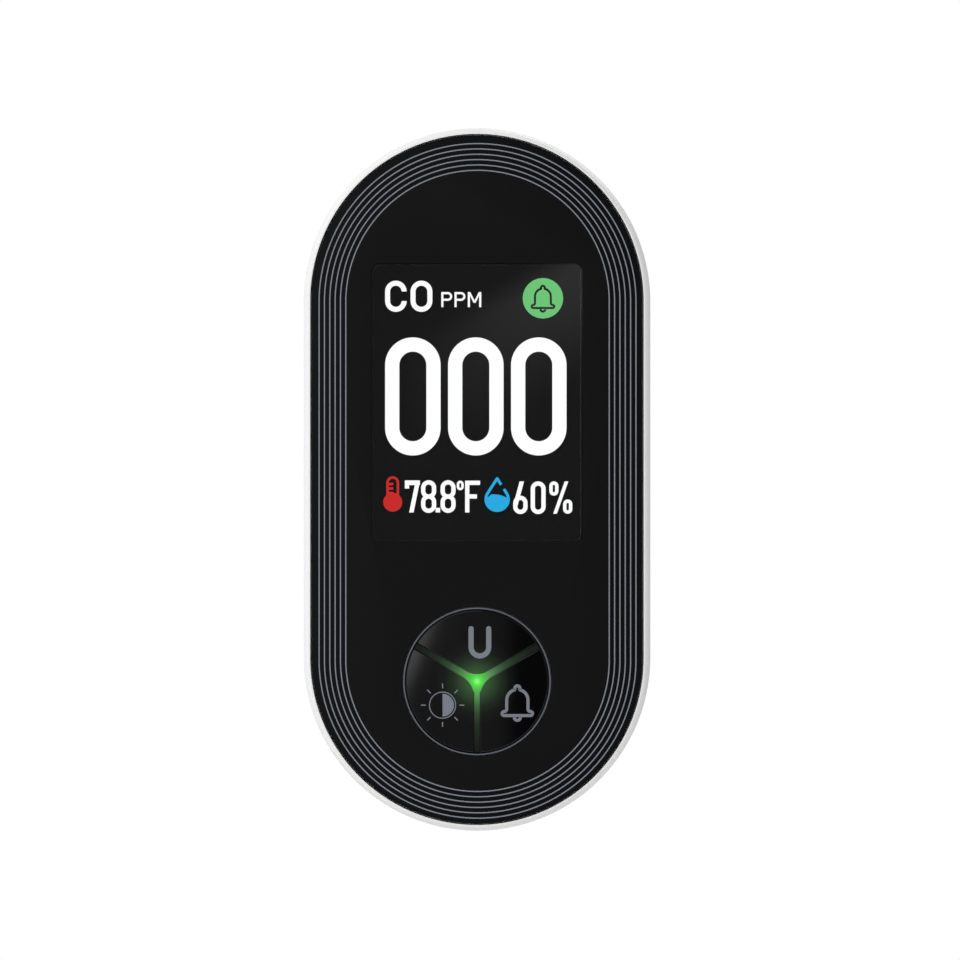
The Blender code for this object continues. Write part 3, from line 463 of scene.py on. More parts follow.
# %% Cut the air slots
SLOT_LENGTH, SLOT_WIDTH, SLOT_PITCH = 9.0 * MM, 1.4 * MM, 3.0 * MM
SIDE_SLOTS, FOOT_SLOTS = 7, 5
SLOT_DEPTH = -20.0 * MM  # their middle, from the back face
SIDE_REACH, FOOT_REACH = 40 * MM, 12 * MM
sensor = middle("co_sensor_can")


def slot_cutter(reach):
    """A pill-shaped bar that points along Y, longer in Z than in X, from -reach to reach."""
    radius = SLOT_WIDTH / 2
    return carried([(radius, -reach), (radius, reach)], (0, (SLOT_LENGTH - SLOT_WIDTH) / 2), 24)


slots = []
for i in range(SIDE_SLOTS):
    cutter = slot_cutter(SIDE_REACH)
    lie = Matrix.Translation((0, SLOT_DEPTH, sensor.z + SLOT_PITCH * (i - SIDE_SLOTS // 2)))
    turn = Matrix.Rotation(math.pi / 2, 4, "Z") @ Matrix.Rotation(math.pi / 2, 4, "Y")
    bmesh.ops.transform(cutter, matrix=lie @ turn, verts=cutter.verts)
    slots.append(cutter)
for i in range(FOOT_SLOTS):
    cutter = slot_cutter(FOOT_REACH)
    lie = Matrix.Translation((SLOT_PITCH * (i - FOOT_SLOTS // 2), SLOT_DEPTH, -END - BODY_RADIUS))
    bmesh.ops.transform(cutter, matrix=lie @ Matrix.Rotation(math.pi / 2, 4, "X"), verts=cutter.verts)
    slots.append(cutter)
shell = combined(shell, "DIFFERENCE", slots)
front_shell = settle("front_shell", shell, "white_plastic", stands_for=["front_housing"])
print("front housing:", len(front_shell.data.polygons), "faces,", len(slots), "cutters for slots")

# %% [markdown]
# ## The rear housing
#
# The second moulding closes the body against the wall. Its edge is rounded, four deep bores take the case
# screws, two slots let the blades out, and a shallow recess holds the label. A tongue on its rim slides into
# the front housing, and the line between the two is the fine gap seen from the side.

# %% The rear housing's section and its columns
BACK_ROUNDING = 2.0 * MM
BACK_STEPS = 8
SPLIT = JOINT + GAP
COLUMN = 4.0 * MM
tongue_end = SPLIT - TONGUE
section = []
for i in range(BACK_STEPS + 1):
    turn = math.pi / 2 * i / BACK_STEPS
    radius = side(-BACK_ROUNDING) - BACK_ROUNDING * (1 - math.sin(turn))
    section.append((radius, -BACK_ROUNDING * (1 - math.cos(turn))))
section += along(-BACK_ROUNDING, SPLIT + EASE, 4)[1:] + [(side(SPLIT) - EASE, SPLIT)]
section += along(SPLIT, tongue_end, 1, INNER_LAP) + along(tongue_end, -WALL, 2, WALL)
cover = carried(section, (0, END))

power_screws = [middle(f"power_screw_{i}") for i in (1, 2)]
standoff_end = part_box("power_board")[1].y + GAP
columns = [rod(COLUMN, -WALL + ROOT, column_top, at.x, at.z) for at in screws]
columns += [rod(BOARD_BOSS, -WALL + ROOT, standoff_end, at.x, at.z) for at in power_screws]
cover = combined(cover, "UNION", columns)
print("rear housing:", len(columns), "columns")

# %% Its bores, slots for the blades and place for the label
HEAD_BORE, SEAT_DEPTH = 2.9 * MM, 5 * MM
MOUTH_EASE = 0.35 * MM
BLADE_FIT, LABEL_FIT = 0.6 * MM, 0.6 * MM
BLADE_SLOT_CORNER, LABEL_CORNER = 0.3 * MM, 2.3 * MM
LABEL_RECESS = 0.55 * MM
bore = [(CASE_HOLE, column_top - PAST), (CASE_HOLE, -SEAT_DEPTH), (HEAD_BORE, -SEAT_DEPTH)]
bore += [(HEAD_BORE, -MOUTH_EASE), (HEAD_BORE + MOUTH_EASE, 0), (HEAD_BORE + MOUTH_EASE, PAST)]
cuts = [moved(carried(bore, steps=48), at.x, at.z) for at in screws]
for name in ("blade_left", "blade_right"):
    at, (low, high) = middle(name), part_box(name)
    width, height = high.x - low.x + BLADE_FIT, high.z - low.z + BLADE_FIT
    cuts.append(plate(width, height, BLADE_SLOT_CORNER, -WALL - 1 * MM, PAST, at.x, at.z, 24))
cuts += [rod(BOARD_HOLE, standoff_end - PAST, -1 * MM, at.x, at.z) for at in power_screws]
label = middle("rating_label")
label_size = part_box("rating_label")[1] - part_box("rating_label")[0]
width, height = label_size.x + LABEL_FIT, label_size.z + LABEL_FIT
cuts.append(plate(width, height, LABEL_CORNER, -LABEL_RECESS, PAST, z=label.z))
cover = combined(cover, "DIFFERENCE", cuts)
rear_cover = settle("rear_cover", cover, "white_plastic", stands_for=["rear_housing"])
print("rear housing:", len(rear_cover.data.polygons), "faces")

# %% [markdown]
# ## The black front panel
#
# A sheet of black acrylic drops into the front housing. Its print is matt, and a broad border near its rim is
# a shade bluer than the middle. The finish measures how far a point lies from the pill's centre line, which
# is the same distance that draws the rim, so the border follows the outline by itself.

# %% The panel's finish
LINE_INNER = 22.84 * MM  # centre of the innermost printed line
BORDER_START = LINE_INNER - 0.3 * MM


def from_centre_line(nodes):
    """Distance from the line between the two end centres: constant along any pill-shaped outline."""
    x, _, z = nodes.split(nodes.place())
    past_end = abs(z).maths("SUBTRACT", END).maths("MAXIMUM", 0.0)
    along_and_across = nodes.add("CombineXYZ", inputs={0: x, 2: past_end})
    return nodes.add("VectorMath", {"operation": "LENGTH"}, {0: along_and_across}, "Value")


panel_black = Finish("black_gloss")
border = from_centre_line(panel_black).step(BORDER_START, BORDER_START + 0.4 * MM)
speck = panel_black.noise(0.2 * MM, 2.0)
cloud = panel_black.noise(14 * MM, 2.0)
field = panel_black.mix(cloud, (0.0024, 0.0024, 0.0024, 1), (0.0034, 0.0034, 0.0032, 1))
panel_black.set(Base_Color=panel_black.mix(border, field, (0.0011, 0.0014, 0.0023, 1)))
panel_black.set(Roughness=speck * 0.1 + 0.44 + cloud * 0.04, Specular_IOR_Level=0.09)
panel_black.bump(speck, 0.0015 * MM)
print("front panel:", len(panel_black.tree.nodes), "nodes in its finish")

# %% The panel with its two openings
RING_HOLE = 13.0 * MM


def soft_front(radius, width, corner):
    """The start of a section: a front edge whose corner is taken off in two small steps."""
    return [(radius - width, FRONT), (radius - corner, FRONT + corner), (radius, FRONT + width)]


panel_section = soft_front(PANEL_RADIUS, 0.15 * MM, 0.04 * MM) + [(PANEL_RADIUS, PANEL_BACK)]
ahead_of_front = FRONT - 1 * MM
openings = [plate(WINDOW_WIDTH, WINDOW_HEIGHT, WINDOW_CORNER, ahead_of_front, 0, z=WINDOW.z)]
openings.append(rod(RING_HOLE, ahead_of_front, 0, z=KEYS.z, steps=96))
panel = combined(carried(panel_section, (0, END)), "DIFFERENCE", openings)
front_plate = settle("front_plate", panel, "black_gloss", stands_for=["front_panel"])
print("front panel:", len(front_plate.data.polygons), "faces")

# %% [markdown]
# ## Six printed lines
#
# Six fine grey lines run round the border, all the same distance apart. They are screen-printed: a film of
# ink that stands on the panel. A painted stripe in the finish would do, but a real film keeps a crisp edge
# close up. Each is the same carried section, a flat bar 0.015 mm thick.

# %% Print the lines
finish("line_ink", light(128, 134, 144), 0.5, drift=0.05, grain=0.1 * MM, depth=0.001 * MM, patch=3 * MM)
LINES = 6
LINE_OUTER = 27.47 * MM
LINE_WIDTH = 0.19 * MM
LINES_X, LINES_Z = 0.09 * MM, -0.24 * MM  # the print stands a little off the plate's middle
INK = 0.015 * MM
lines = []
for i in range(LINES):
    radius = LINE_INNER + (LINE_OUTER - LINE_INNER) * i / (LINES - 1)
    near, far = radius - LINE_WIDTH / 2, radius + LINE_WIDTH / 2
    bar = [(near, FRONT), (far, FRONT), (far, FRONT - INK), (near, FRONT - INK)]
    lines.append(carried(bar, (0, END), closed=True))
settle("printed_lines", moved(gathered(lines), LINES_X, LINES_Z), "line_ink")
print(len(lines), "lines printed")

# %% [markdown]
# ## The window and the dark display behind it
#
# A clear acrylic lens fills the upper opening, with a flange that the housing clamps. Clear plastic is a
# shader with full transmission, smooth, and slightly grey. Its index of refraction is set below real acrylic,
# as on a lens with an anti-glare coat, so that its face stays as dark as the panel round it. Its sides are
# painted black, or they would mirror the lit figures: where a surface looks sideways, the finish turns to a
# metal that is black.
#
# Behind it the liquid-crystal glass is nearly black. A soft diagonal band on it, strongest on the right, is a
# painted reflection: a soft light mirrored in the window, painted on the glass as a very dim emission.

# %% The lens
lens_finish = Finish("clear_plastic")
_, outward, _ = lens_finish.split(lens_finish.add("TexCoord", output="Normal"))
painted = 1 - abs(outward).step(0.3, 0.6)
lens_finish.set(Base_Color=lens_finish.mix(painted, (0.97, 0.975, 0.98, 1), (0.001, 0.001, 0.001, 1)))
lens_finish.set(Roughness=lens_finish.noise(5 * MM) * 0.01 + 0.01 + painted * 0.6, Metallic=painted)
lens_finish.set(Transmission_Weight=1.0, IOR=1.25)
LENS_FIT = 0.25 * MM
FLAT = 10  # degrees; a chamfer turned further than this is not shaded as one with the flat face beside it
lens_corner = WINDOW_CORNER - LENS_FIT
wide = lens_corner + LENS_FIT + FLANGE
flange_front = PANEL_BACK + GAP
lens_section = soft_front(lens_corner, 0.12 * MM, 0.03 * MM) + [(lens_corner, flange_front)]
lens_section += [(wide, flange_front), (wide, window_high.y)]
half_width = WINDOW_WIDTH / 2 - LENS_FIT - lens_corner
half_height = WINDOW_HEIGHT / 2 - LENS_FIT - lens_corner
lens = moved(carried(lens_section, (half_width, half_height), 64), z=WINDOW.z)
settle("window_lens", lens, "clear_plastic", stands_for=["display_window"], sharp=FLAT)
print("lens:", round(2 * (half_width + lens_corner) / MM, 2), "mm wide")

# %% The display glass and the painted reflection on it
glass = Finish("display_glass")
x, _, z = glass.split(glass.place())
# Painted reflection: a soft diagonal band of dim emission, brighter to the right, stands in for a soft light
# mirrored in the window.
across = (x - WINDOW.x) * 0.5 + (z - WINDOW.z) * -0.86
painted_reflection = (across + 17 * MM).step(0.0, 6 * MM) * (1 - across.step(-12 * MM, 8 * MM))
painted_reflection = painted_reflection * (x - WINDOW.x).step(-18 * MM, 20 * MM)
grey = glass.mix(painted_reflection, light(16, 16, 16), light(43, 43, 43))
glass.set(Base_Color=glass.mix(glass.noise(8 * MM), (0.001, 0.001, 0.0012, 1), (0.002, 0.002, 0.0024, 1)))
glass.set(Roughness=glass.noise(0.3 * MM) * 0.05 + 0.2, Specular_IOR_Level=0.0)
glass.set(Emission_Color=grey, Emission_Strength=1.0)
print("display glass:", len(glass.tree.nodes), "nodes in its finish")

# %% [markdown]
# ## A pen for signs and digits
#
# The digits, letters and symbols are all drawn with even strokes. A font would bring someone else's letter
# shapes. Instead a pen holds a nib, an edge as wide as the stroke: spinning it about a point draws a
# bend, and a spin of no angle, with a travel, draws a straight run. A nib without width is a single point,
# which draws an outline to be filled.


# %% The pen
def unit(degrees):
    """A direction in the front's plane: 0 to the right, 90 up."""
    return Vector((math.cos(math.radians(degrees)), 0, math.sin(math.radians(degrees))))


def everything(bm):
    return list(bm.verts) + list(bm.edges) + list(bm.faces)


class Pen:
    """Draws flat strokes in the plane y = 0, in millimetres."""

    def __init__(self, width=0.0, steps_per_turn=48):
        self.bm, self.width, self.steps = bmesh.new(), width, steps_per_turn

    def start(self, x, z, heading):
        self.at, self.heading = Vector((x, 0, z)), heading
        side_way = unit(heading + 90) * self.width / 2
        self.first = self.bm.verts.new(self.at + side_way)
        self.nib = [self.first]
        if self.width:
            self.nib.append(self.bm.verts.new(self.at - side_way))
            self.nib.append(self.bm.edges.new(self.nib))
        return self

    def swept(self, **how):
        made = bmesh.ops.spin(self.bm, geom=self.nib, axis=(0, -1, 0), use_duplicate=False, **how)
        self.nib = made["geom_last"]

    def run(self, length):
        travel = unit(self.heading) * length
        self.swept(cent=(0, 0, 0), dvec=travel, angle=0.0, steps=1)
        self.at += travel
        return self

    def bend(self, radius, angle):
        """A bend to the left, or to the right if the angle is negative."""
        inward = unit(self.heading + math.copysign(90, angle)) * radius
        steps = max(2, round(self.steps * abs(angle) / 360))
        centre = self.at + inward
        self.swept(cent=centre, dvec=(0, 0, 0), angle=math.radians(angle), steps=steps)
        self.heading += angle
        self.at = centre - unit(self.heading + math.copysign(90, angle)) * radius
        return self

    def line(self, start, end):
        """A straight stroke between two points."""
        way = Vector((end[0] - start[0], 0, end[1] - start[1]))
        return self.start(*start, math.degrees(math.atan2(way.z, way.x))).run(way.length)

    def dot(self, x, z, radius):
        """A filled disc, also the round end of a stroke."""
        spot = Matrix.Translation((x, 0, z)) @ UPRIGHT
        bmesh.ops.create_circle(self.bm, cap_ends=True, segments=24, radius=radius, matrix=spot)
        return self

    def ring(self, x, z, width, height):
        """A pill-shaped ring whose outer size is given, with its left and bottom at a place."""
        radius = (width - self.width) / 2
        straight = height - self.width - 2 * radius
        self.start(x + self.width / 2, z + self.width / 2 + radius, 90)
        return self.run(straight).bend(radius, -180).run(straight).bend(radius, -180)

    def filled(self):
        """Fills the outline that a nib without width has drawn."""
        last = next(part for part in self.nib if isinstance(part, bmesh.types.BMVert))
        self.bm.edges.new((last, self.first))
        bmesh.ops.edgeloop_fill(self.bm, edges=self.bm.edges)
        return self

    def trimmed(self, low, high):
        """Cuts slanted strokes level at the foot and the top."""
        for level, way in ((low, -1), (high, 1)):
            plane = {"plane_co": (0, 0, level), "plane_no": (0, 0, way)}
            bmesh.ops.bisect_plane(self.bm, geom=everything(self.bm), clear_outer=True, **plane)
        return self


DOUBLE = 0.0001  # points of a drawing closer than this are one, in the pen's millimetres


def film(pens, thickness, x=0.0, z=0.0, depth=0.0):
    """Flat strokes as a film with a thickness, placed in metres."""
    sheet = gathered([pen.bm for pen in pens])
    bmesh.ops.remove_doubles(sheet, verts=sheet.verts, dist=DOUBLE)
    grown = bmesh.ops.extrude_face_region(sheet, geom=list(sheet.faces), use_keep_orig=True)["geom"]
    top = [part for part in grown if isinstance(part, bmesh.types.BMVert)]
    bmesh.ops.translate(sheet, verts=top, vec=(0, -thickness / MM, 0))
    bmesh.ops.recalc_face_normals(sheet, faces=sheet.faces)
    bmesh.ops.scale(sheet, vec=(MM, MM, MM), verts=sheet.verts)
    return moved(sheet, x, z, depth)


# %% [markdown]
# ## What the display shows
#
# The characters are tall and narrow, with round bends and even strokes, and each is a few pen moves in a box
# of its own size. They are luminous, so their finish is an emission. On the real screen they are lit
# cells in the glass; here each is a thin film on it, which keeps their edges sharp from close by.


# %% The characters, each drawn in a box from its lower left corner
def letter_c(x, z, w, h, s):
    radius = (w - s) / 2
    straight = h - s - 2 * radius
    pen = Pen(s).start(x + w - s / 2, z + h - s / 2 - radius, 90)
    return [pen.bend(radius, 180).run(straight).bend(radius, 180)]


def letter_p(x, z, w, h, s):
    bowl = (0.58 * h - s) / 2
    pen = Pen(s).line((x + s / 2, z), (x + s / 2, z + h))
    run = w - 1.5 * s - bowl
    pen.start(x + s, z + h - s / 2, 0).run(run).bend(bowl, -180).run(run)
    return [pen]


def letter_m(x, z, w, h, s):
    pen = Pen(s)
    for stem in (x + s / 2, x + w - s / 2):
        pen.line((stem, z), (stem, z + h))
    slants = Pen(0.9 * s)
    for stem in (x + 0.55 * s, x + w - 0.55 * s):
        slants.line((stem, z + h + 0.2 * s), (x + w / 2, z + 0.3 * h))
    return [pen, slants.trimmed(z, z + h)]


def letter_f(x, z, w, h, s):
    pen = Pen(s).line((x + s / 2, z), (x + s / 2, z + h))
    pen.line((x + s, z + h - s / 2), (x + w, z + h - s / 2))
    pen.line((x + s, z + 0.505 * h), (x + 0.79 * w, z + 0.505 * h))
    return [pen]


def digit_0(x, z, w, h, s):
    return [Pen(s, 96).ring(x, z, w, h)]


def digit_6(x, z, w, h, s):
    stem = Pen(s).line((x + 0.56 * s, z + 0.28 * h), (x + 0.66 * w, z + 1.1 * h))
    return [Pen(s).ring(x, z, w, 0.56 * h), stem.trimmed(z, z + h)]


def digit_7(x, z, w, h, s):
    pen = Pen(1.1 * s).line((x, z + h - 0.55 * s), (x + w, z + h - 0.55 * s))
    serif = Pen(s).line((x + s / 2, z + 0.745 * h), (x + s / 2, z + h - s))
    slant = Pen(s).line((x + w - 0.62 * s, z + h - 0.8 * s), (x + 0.42 * w, z - 0.2 * s))
    return [pen, serif, slant.trimmed(z, z + h)]


def digit_8(x, z, w, h, s):
    half = (h + s) / 2
    return [Pen(s).ring(x, z, w, half), Pen(s).ring(x, z + h - half, w, half)]


def percent(x, z, w, h, s):
    thin, ring, tall = 0.8 * s, 0.4 * w, 0.44 * h
    slash = Pen(thin).line((x + 0.2 * w, z - 0.1 * h), (x + 0.8 * w, z + 1.1 * h))
    upper = Pen(thin).ring(x, z + h - tall, ring, tall)
    return [upper, Pen(thin).ring(x + w - ring, z, ring, tall), slash.trimmed(z, z + h)]


def point(x, z, w, h, s):
    return [Pen(h).line((x, z + h / 2), (x + w, z + h / 2))]


# %% [markdown]
# ## Setting the screen
#
# The screen is laid out in millimetres from the middle of the picture, as its designer would: a heading row,
# three large digits, and a row for temperature and humidity.


# %% Luminous finishes
def luminous(name, colour, strength=1.04):
    made = Finish(name)
    glow = made.mix(made.noise(0.6 * MM), tuple(0.965 * c for c in colour[:3]) + (1,), colour)
    made.set(Base_Color=(0, 0, 0, 1), Roughness=made.noise(0.3 * MM) * 0.1 + 0.3, Specular_IOR_Level=0.0)
    made.set(Emission_Color=glow, Emission_Strength=strength)


luminous("screen_white", (1, 1, 1, 1), 1.07)
luminous("screen_green", light(110, 198, 120))
luminous("screen_red", light(198, 44, 42))
luminous("screen_blue", light(41, 171, 226))
finish("screen_dark", (0.003, 0.003, 0.003, 1), 0.5)
print("screen finishes:", [name for name in FINISHES if name.startswith("screen")])

# %% Rows of characters
FILM = 0.03 * MM
SCREEN_X = WINDOW.x + 0.3 * MM  # the picture stands a little right of the window's middle


def shown(name, finish_name, pens):
    settle(name, film(pens, FILM, SCREEN_X, WINDOW.z, GLASS_FRONT), finish_name)


LEFT = -16.3  # where the heading and the large digits start
foot, tall, stroke = 15.88, 5.42, 0.87
heading = letter_c(LEFT, foot, 3.75, tall, stroke) + [Pen(stroke).ring(-11.87, foot, 3.8, tall)]
shown("unit_name", "screen_white", heading)

foot, tall, stroke = 16.7, 2.62, 0.37
unit_row = letter_p(-6.52, foot, 1.9, tall, stroke) + letter_p(-4.22, foot, 1.9, tall, stroke)
unit_row += letter_m(-1.9, foot, 2.34, tall, stroke)
shown("unit_scale", "screen_white", unit_row)

foot, tall, stroke = -9.12, 20.55, 2.48
DIGIT_WIDTH, DIGIT_PITCH = 9.66, 10.96
reading = []
for i in range(3):
    reading += digit_0(LEFT + DIGIT_PITCH * i, foot, DIGIT_WIDTH, tall, stroke)
shown("reading_digits", "screen_white", reading)

foot, tall, stroke = -19.11, 5.68, 0.74
SMALL_WIDTH = 2.62
temperature = digit_7(-12.86, foot + 0.07, SMALL_WIDTH, tall - 0.1, stroke)
for left in (-10.03, -6.65):
    temperature += digit_8(left, foot, SMALL_WIDTH, tall, stroke)
temperature += point(-7.5, foot + 0.07, 0.78, 0.8, stroke)
temperature.append(Pen(0.42).ring(-3.82, foot + 3.95, 1.2, 1.65))
temperature += letter_f(-2.37, foot + 0.07, 2.6, tall - 0.15, stroke)
shown("temperature_digits", "screen_white", temperature)

humidity = digit_6(6.0, foot - 0.2, 2.5, tall, stroke) + digit_0(9.04, foot - 0.2, 2.6, tall, stroke)
humidity += percent(12.28, foot - 0.15, 4.0, tall - 0.05, stroke)
shown("humidity_digits", "screen_white", humidity)
print("characters set from", LEFT, "mm")

# %% [markdown]
# ## The bell, the thermometer and the drop
#
# The bell is used twice, small and dark on the screen's green disc, and larger and grey on a key. So it is
# one function that is given a size. A single stroke starts at the neck, goes down the left side, round the
# foot and up the right side, and two more strokes add the knob and the clapper.


# %% A bell of any size
def bell(x, z, size, stroke):
    """One outline about the bell's middle; size is half its width in millimetres."""
    body, flare, end = 0.628 * size, 0.144 * size, 0.122 * size
    knob, clapper, rise = 0.15 * size, 0.18 * size, 0.523 * size
    neck = unit(99) * body
    pen = Pen(stroke).start(x + neck.x, z + 0.14 * size + neck.z, 189)
    pen.bend(body, 81).run(rise).bend(flare, -90).bend(end, 180).run(2 * (body + flare))
    pen.bend(end, 180).bend(flare, -90).run(rise).bend(body, 81)
    throat = unit(-50) * knob
    pen.start(x + throat.x, z + 0.832 * size + throat.z, 40).bend(knob, 280)
    pen.start(x - clapper, z - 0.872 * size, -90).bend(clapper, 180)
    return [pen]


# %% The bell and the thermometer on the screen
disc_x, disc_z, disc = 11.17, 18.24, 3.53
BELL_FILM = 0.02 * MM
shown("alarm_disc", "screen_green", [Pen().dot(disc_x, disc_z, disc)])
dark_bell = film(bell(disc_x, disc_z, 2.2, 0.38), BELL_FILM, SCREEN_X, WINDOW.z, GLASS_FRONT - FILM)
settle("alarm_bell", dark_bell, "screen_dark")

bulb_x, bulb_z, bulb = -14.97, -17.25, 1.66
tube, tube_length, mark_pitch = 0.9, 2.3, 0.78
thermometer = Pen(0.44).start(bulb_x - tube, bulb_z + 1.1, 90)
thermometer.run(tube_length).bend(tube, -180).run(tube_length)
thermometer.dot(bulb_x, bulb_z, bulb)
for i in range(3):
    mark = bulb_z + 1.6 + mark_pitch * i
    thermometer.line((bulb_x - 0.75, mark), (bulb_x + 0.1, mark))
shown("thermometer_sign", "screen_red", [thermometer])
print("bell and thermometer set")

# %% The drop: a stroke from its tip round a circle, open on the right, and its water
drop_x, drop_z, drop, tip = 3.20, -16.75, 1.96, 3.62
DROP_STROKE = 0.48
lean = math.degrees(math.asin(drop / tip))  # of the straight sides that touch the circle
length = math.sqrt(tip**2 - drop**2)
rim = Pen(DROP_STROKE).start(drop_x, drop_z + tip, -90 - lean)
rim.run(length).bend(drop, 180 + 2 * lean).run(0.28 * length)
rim.start(drop_x, drop_z + tip, -90 + lean).run(0.42 * length)
rim.dot(drop_x, drop_z + tip, DROP_STROKE / 2)
shown("drop_rim", "screen_blue", [rim])
water = Pen().start(drop_x - drop, drop_z + 0.15, -90).bend(drop, 180)
water.heading = 155
water.run(0.9).bend(3.2, 22).run(0.9)
shown("drop_water", "screen_blue", [water.filled()])
print("drop set, its sides lean", round(lean, 1), "degrees")

# %% [markdown]
# ## The trim ring
#
# A thin anodised ring lines the hole for the keys, with a flange behind the panel that holds it. It shows as
# one fine grey line. It is a closed section carried round a circle, with its front edge eased.

# %% The ring
finish("satin_grey", light(108, 113, 122), 0.42, 0.85, grain=0.08 * MM, depth=0.001 * MM, patch=4 * MM)
RING_INNER = KEY_RADIUS + 0.25 * MM
RING_OUTER = RING_INNER + 0.25 * MM
RING_EASE = 0.04 * MM
ring_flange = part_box("key_ring")[1].x
ring_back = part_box("key_ring")[1].y
ring_section = [(RING_INNER, FRONT + RING_EASE), (RING_INNER + RING_EASE, FRONT)]
ring_section += [(RING_OUTER - RING_EASE, FRONT), (RING_OUTER, FRONT + RING_EASE)]
ring_section += [(RING_OUTER, flange_front), (ring_flange, flange_front)]
ring_section += [(ring_flange, ring_back), (RING_INNER, ring_back)]
ring = moved(carried(ring_section, closed=True), z=KEYS.z)
trim_ring = settle("trim_ring", ring, "satin_grey", stands_for=["key_ring"])
print("ring:", len(trim_ring.data.polygons), "faces")

# %% [markdown]
# ## Three keys cut from one disc
#
# The keys are thirds of a disc, with a wide round corner at the middle. Each starts as the whole disc with
# its flange. Two planes cut its sides, a bevel rounds the corner and another eases the front edge. A grid of
# cuts then gives the front enough points to be domed very slightly, which is what makes the light slide over
# the keys instead of filling them evenly.

# %% A third of a disc
GUIDE_WIDTH = 0.95 * MM
LIGHT_GAP = 0.1 * MM  # between a key and the light guide
KEY_CORNER = 3.3 * MM
CORNER_STEPS = 16
DOME = 0.2 * MM
FRONT_SKIN = 0.12 * MM  # what lies this near the front takes part in the dome
KEY_ANGLES = {"units": 90, "alarm": 330, "brightness": 210}


def cut_by(bm, point, normal):
    """Cuts off what lies on the normal's side of a plane, and closes the cut."""
    plane = {"plane_co": point, "plane_no": normal, "clear_outer": True}
    cut = bmesh.ops.bisect_plane(bm, geom=everything(bm), **plane)["geom_cut"]
    bmesh.ops.edgeloop_fill(bm, edges=[part for part in cut if isinstance(part, bmesh.types.BMEdge)])


def third(section, angle, grow=0.0):
    """A third of a round body, about the cluster's centre, with its corner rounded."""
    bm = carried(section, steps=FINE)
    margin = GUIDE_WIDTH / 2 + LIGHT_GAP - grow
    for turn in (150, -150):
        normal = unit(angle + turn)
        cut_by(bm, normal * -margin, normal)
    corner = unit(angle) * margin / math.sin(math.radians(60))
    beside = {v for v in bm.verts if math.hypot(v.co.x - corner.x, v.co.z - corner.z) < 0.01 * MM}
    upright = [e for e in bm.edges if set(e.verts) <= beside]
    rounded(bm, upright, (KEY_CORNER + grow) / math.tan(math.radians(60)), CORNER_STEPS)
    return bm


def domed(bm):
    """Sinks what lies on the front by the square of its distance from the cluster's centre."""
    for vert in bm.verts:
        if vert.co.y < FRONT + FRONT_SKIN:
            share = (vert.co.x**2 + vert.co.z**2) / KEY_RADIUS**2
            vert.co.y += DOME * min(share, 1.0)
    return bm


# %% The keys' finish: black, with a green spill of light round the lamp
SPILL = [
    (0.0, light(60, 104, 58)),
    (0.17, light(46, 76, 44)),
    (0.26, light(36, 58, 35)),
    (0.34, light(24, 38, 23)),
    (0.46, light(9, 13, 9)),
    (0.6, light(0, 0, 0)),
]


def from_lamp(nodes):
    """Distance from the lamp behind the middle of the keys, in key radii."""
    x, _, z = nodes.split(nodes.place())
    flat_place = nodes.add("CombineXYZ", inputs={0: x, 2: z - KEYS.z})
    return nodes.add("VectorMath", {"operation": "LENGTH"}, {0: flat_place}, "Value") * (1 / KEY_RADIUS)


key_finish = Finish("key_black")
spill = key_finish.add("ValToRGB", {"stops": SPILL}, {0: from_lamp(key_finish)})
smudge = key_finish.noise(5 * MM, 3.0)
key_finish.set(Base_Color=key_finish.mix(smudge, (0.0016, 0.0016, 0.0018, 1), (0.0026, 0.0026, 0.0028, 1)))
key_finish.set(Roughness=smudge * 0.03 + 0.04, Specular_IOR_Level=0.5)
key_finish.set(Emission_Color=spill, Emission_Strength=1.0)
print("spill of light reaches", round(SPILL[-1][0] * KEY_RADIUS / MM, 1), "mm from the lamp")

# %% Make the keys
KEY_FLANGE = 1.0 * MM  # its reach and its thickness
KEY_EASE, KEY_EASE_STEPS = 0.14 * MM, 3
STEM_RADIUS = 1.5 * MM
GRID, GRID_CUTS = 0.9 * MM, 13  # cuts on each side of the middle
GENTLE = 8  # degrees; the eased edge is not shaded as one with the dome
SAME = 0.0001 * MM
KEY_BACK = WEB_FRONT + 1.15 * MM
reach, flange_back = KEY_RADIUS + KEY_FLANGE, WEB_FRONT + KEY_FLANGE
key_section = [(KEY_RADIUS, KEY_TOP), (KEY_RADIUS, WEB_FRONT), (reach, WEB_FRONT)]
key_section += [(reach, flange_back), (KEY_RADIUS, flange_back), (KEY_RADIUS, KEY_BACK)]
for name, angle in KEY_ANGLES.items():
    cap = third(key_section, angle)
    rim_edges = [e for e in cap.edges if all(abs(v.co.y - KEY_TOP) < SAME for v in e.verts)]
    rounded(cap, rim_edges, KEY_EASE, KEY_EASE_STEPS, clamp=True)
    for axis in ((1, 0, 0), (0, 0, 1)):
        for i in range(-GRID_CUTS, GRID_CUTS + 1):
            bmesh.ops.bisect_plane(cap, geom=everything(cap), plane_co=Vector(axis) * GRID * i, plane_no=axis)
    domed(cap)
    plunger = middle(f"plunger_{name}")
    stem_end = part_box(f"plunger_{name}")[0].y - GAP
    stem = rod(STEM_RADIUS, KEY_BACK - ROOT, stem_end, plunger.x, plunger.z - KEYS.z)
    cap = moved(combined(cap, "UNION", [stem]), z=KEYS.z)
    made = settle(f"key_cap_{name}", cap, "key_black", f"key_{name}", [f"key_{name}"], GENTLE)
    print(made.name, len(made.data.polygons), "faces")

# %% [markdown]
# ## The light guide
#
# A clear green-lit Y runs between the keys and carries the light of a small lamp at its middle. It is what
# remains of a disc when the three keys, each a little grown, are cut from it, so it keeps the same gap to
# them everywhere. Its finish glows by the distance from the lamp: bright green at the middle, duller along
# the arms, and dark at the rim.

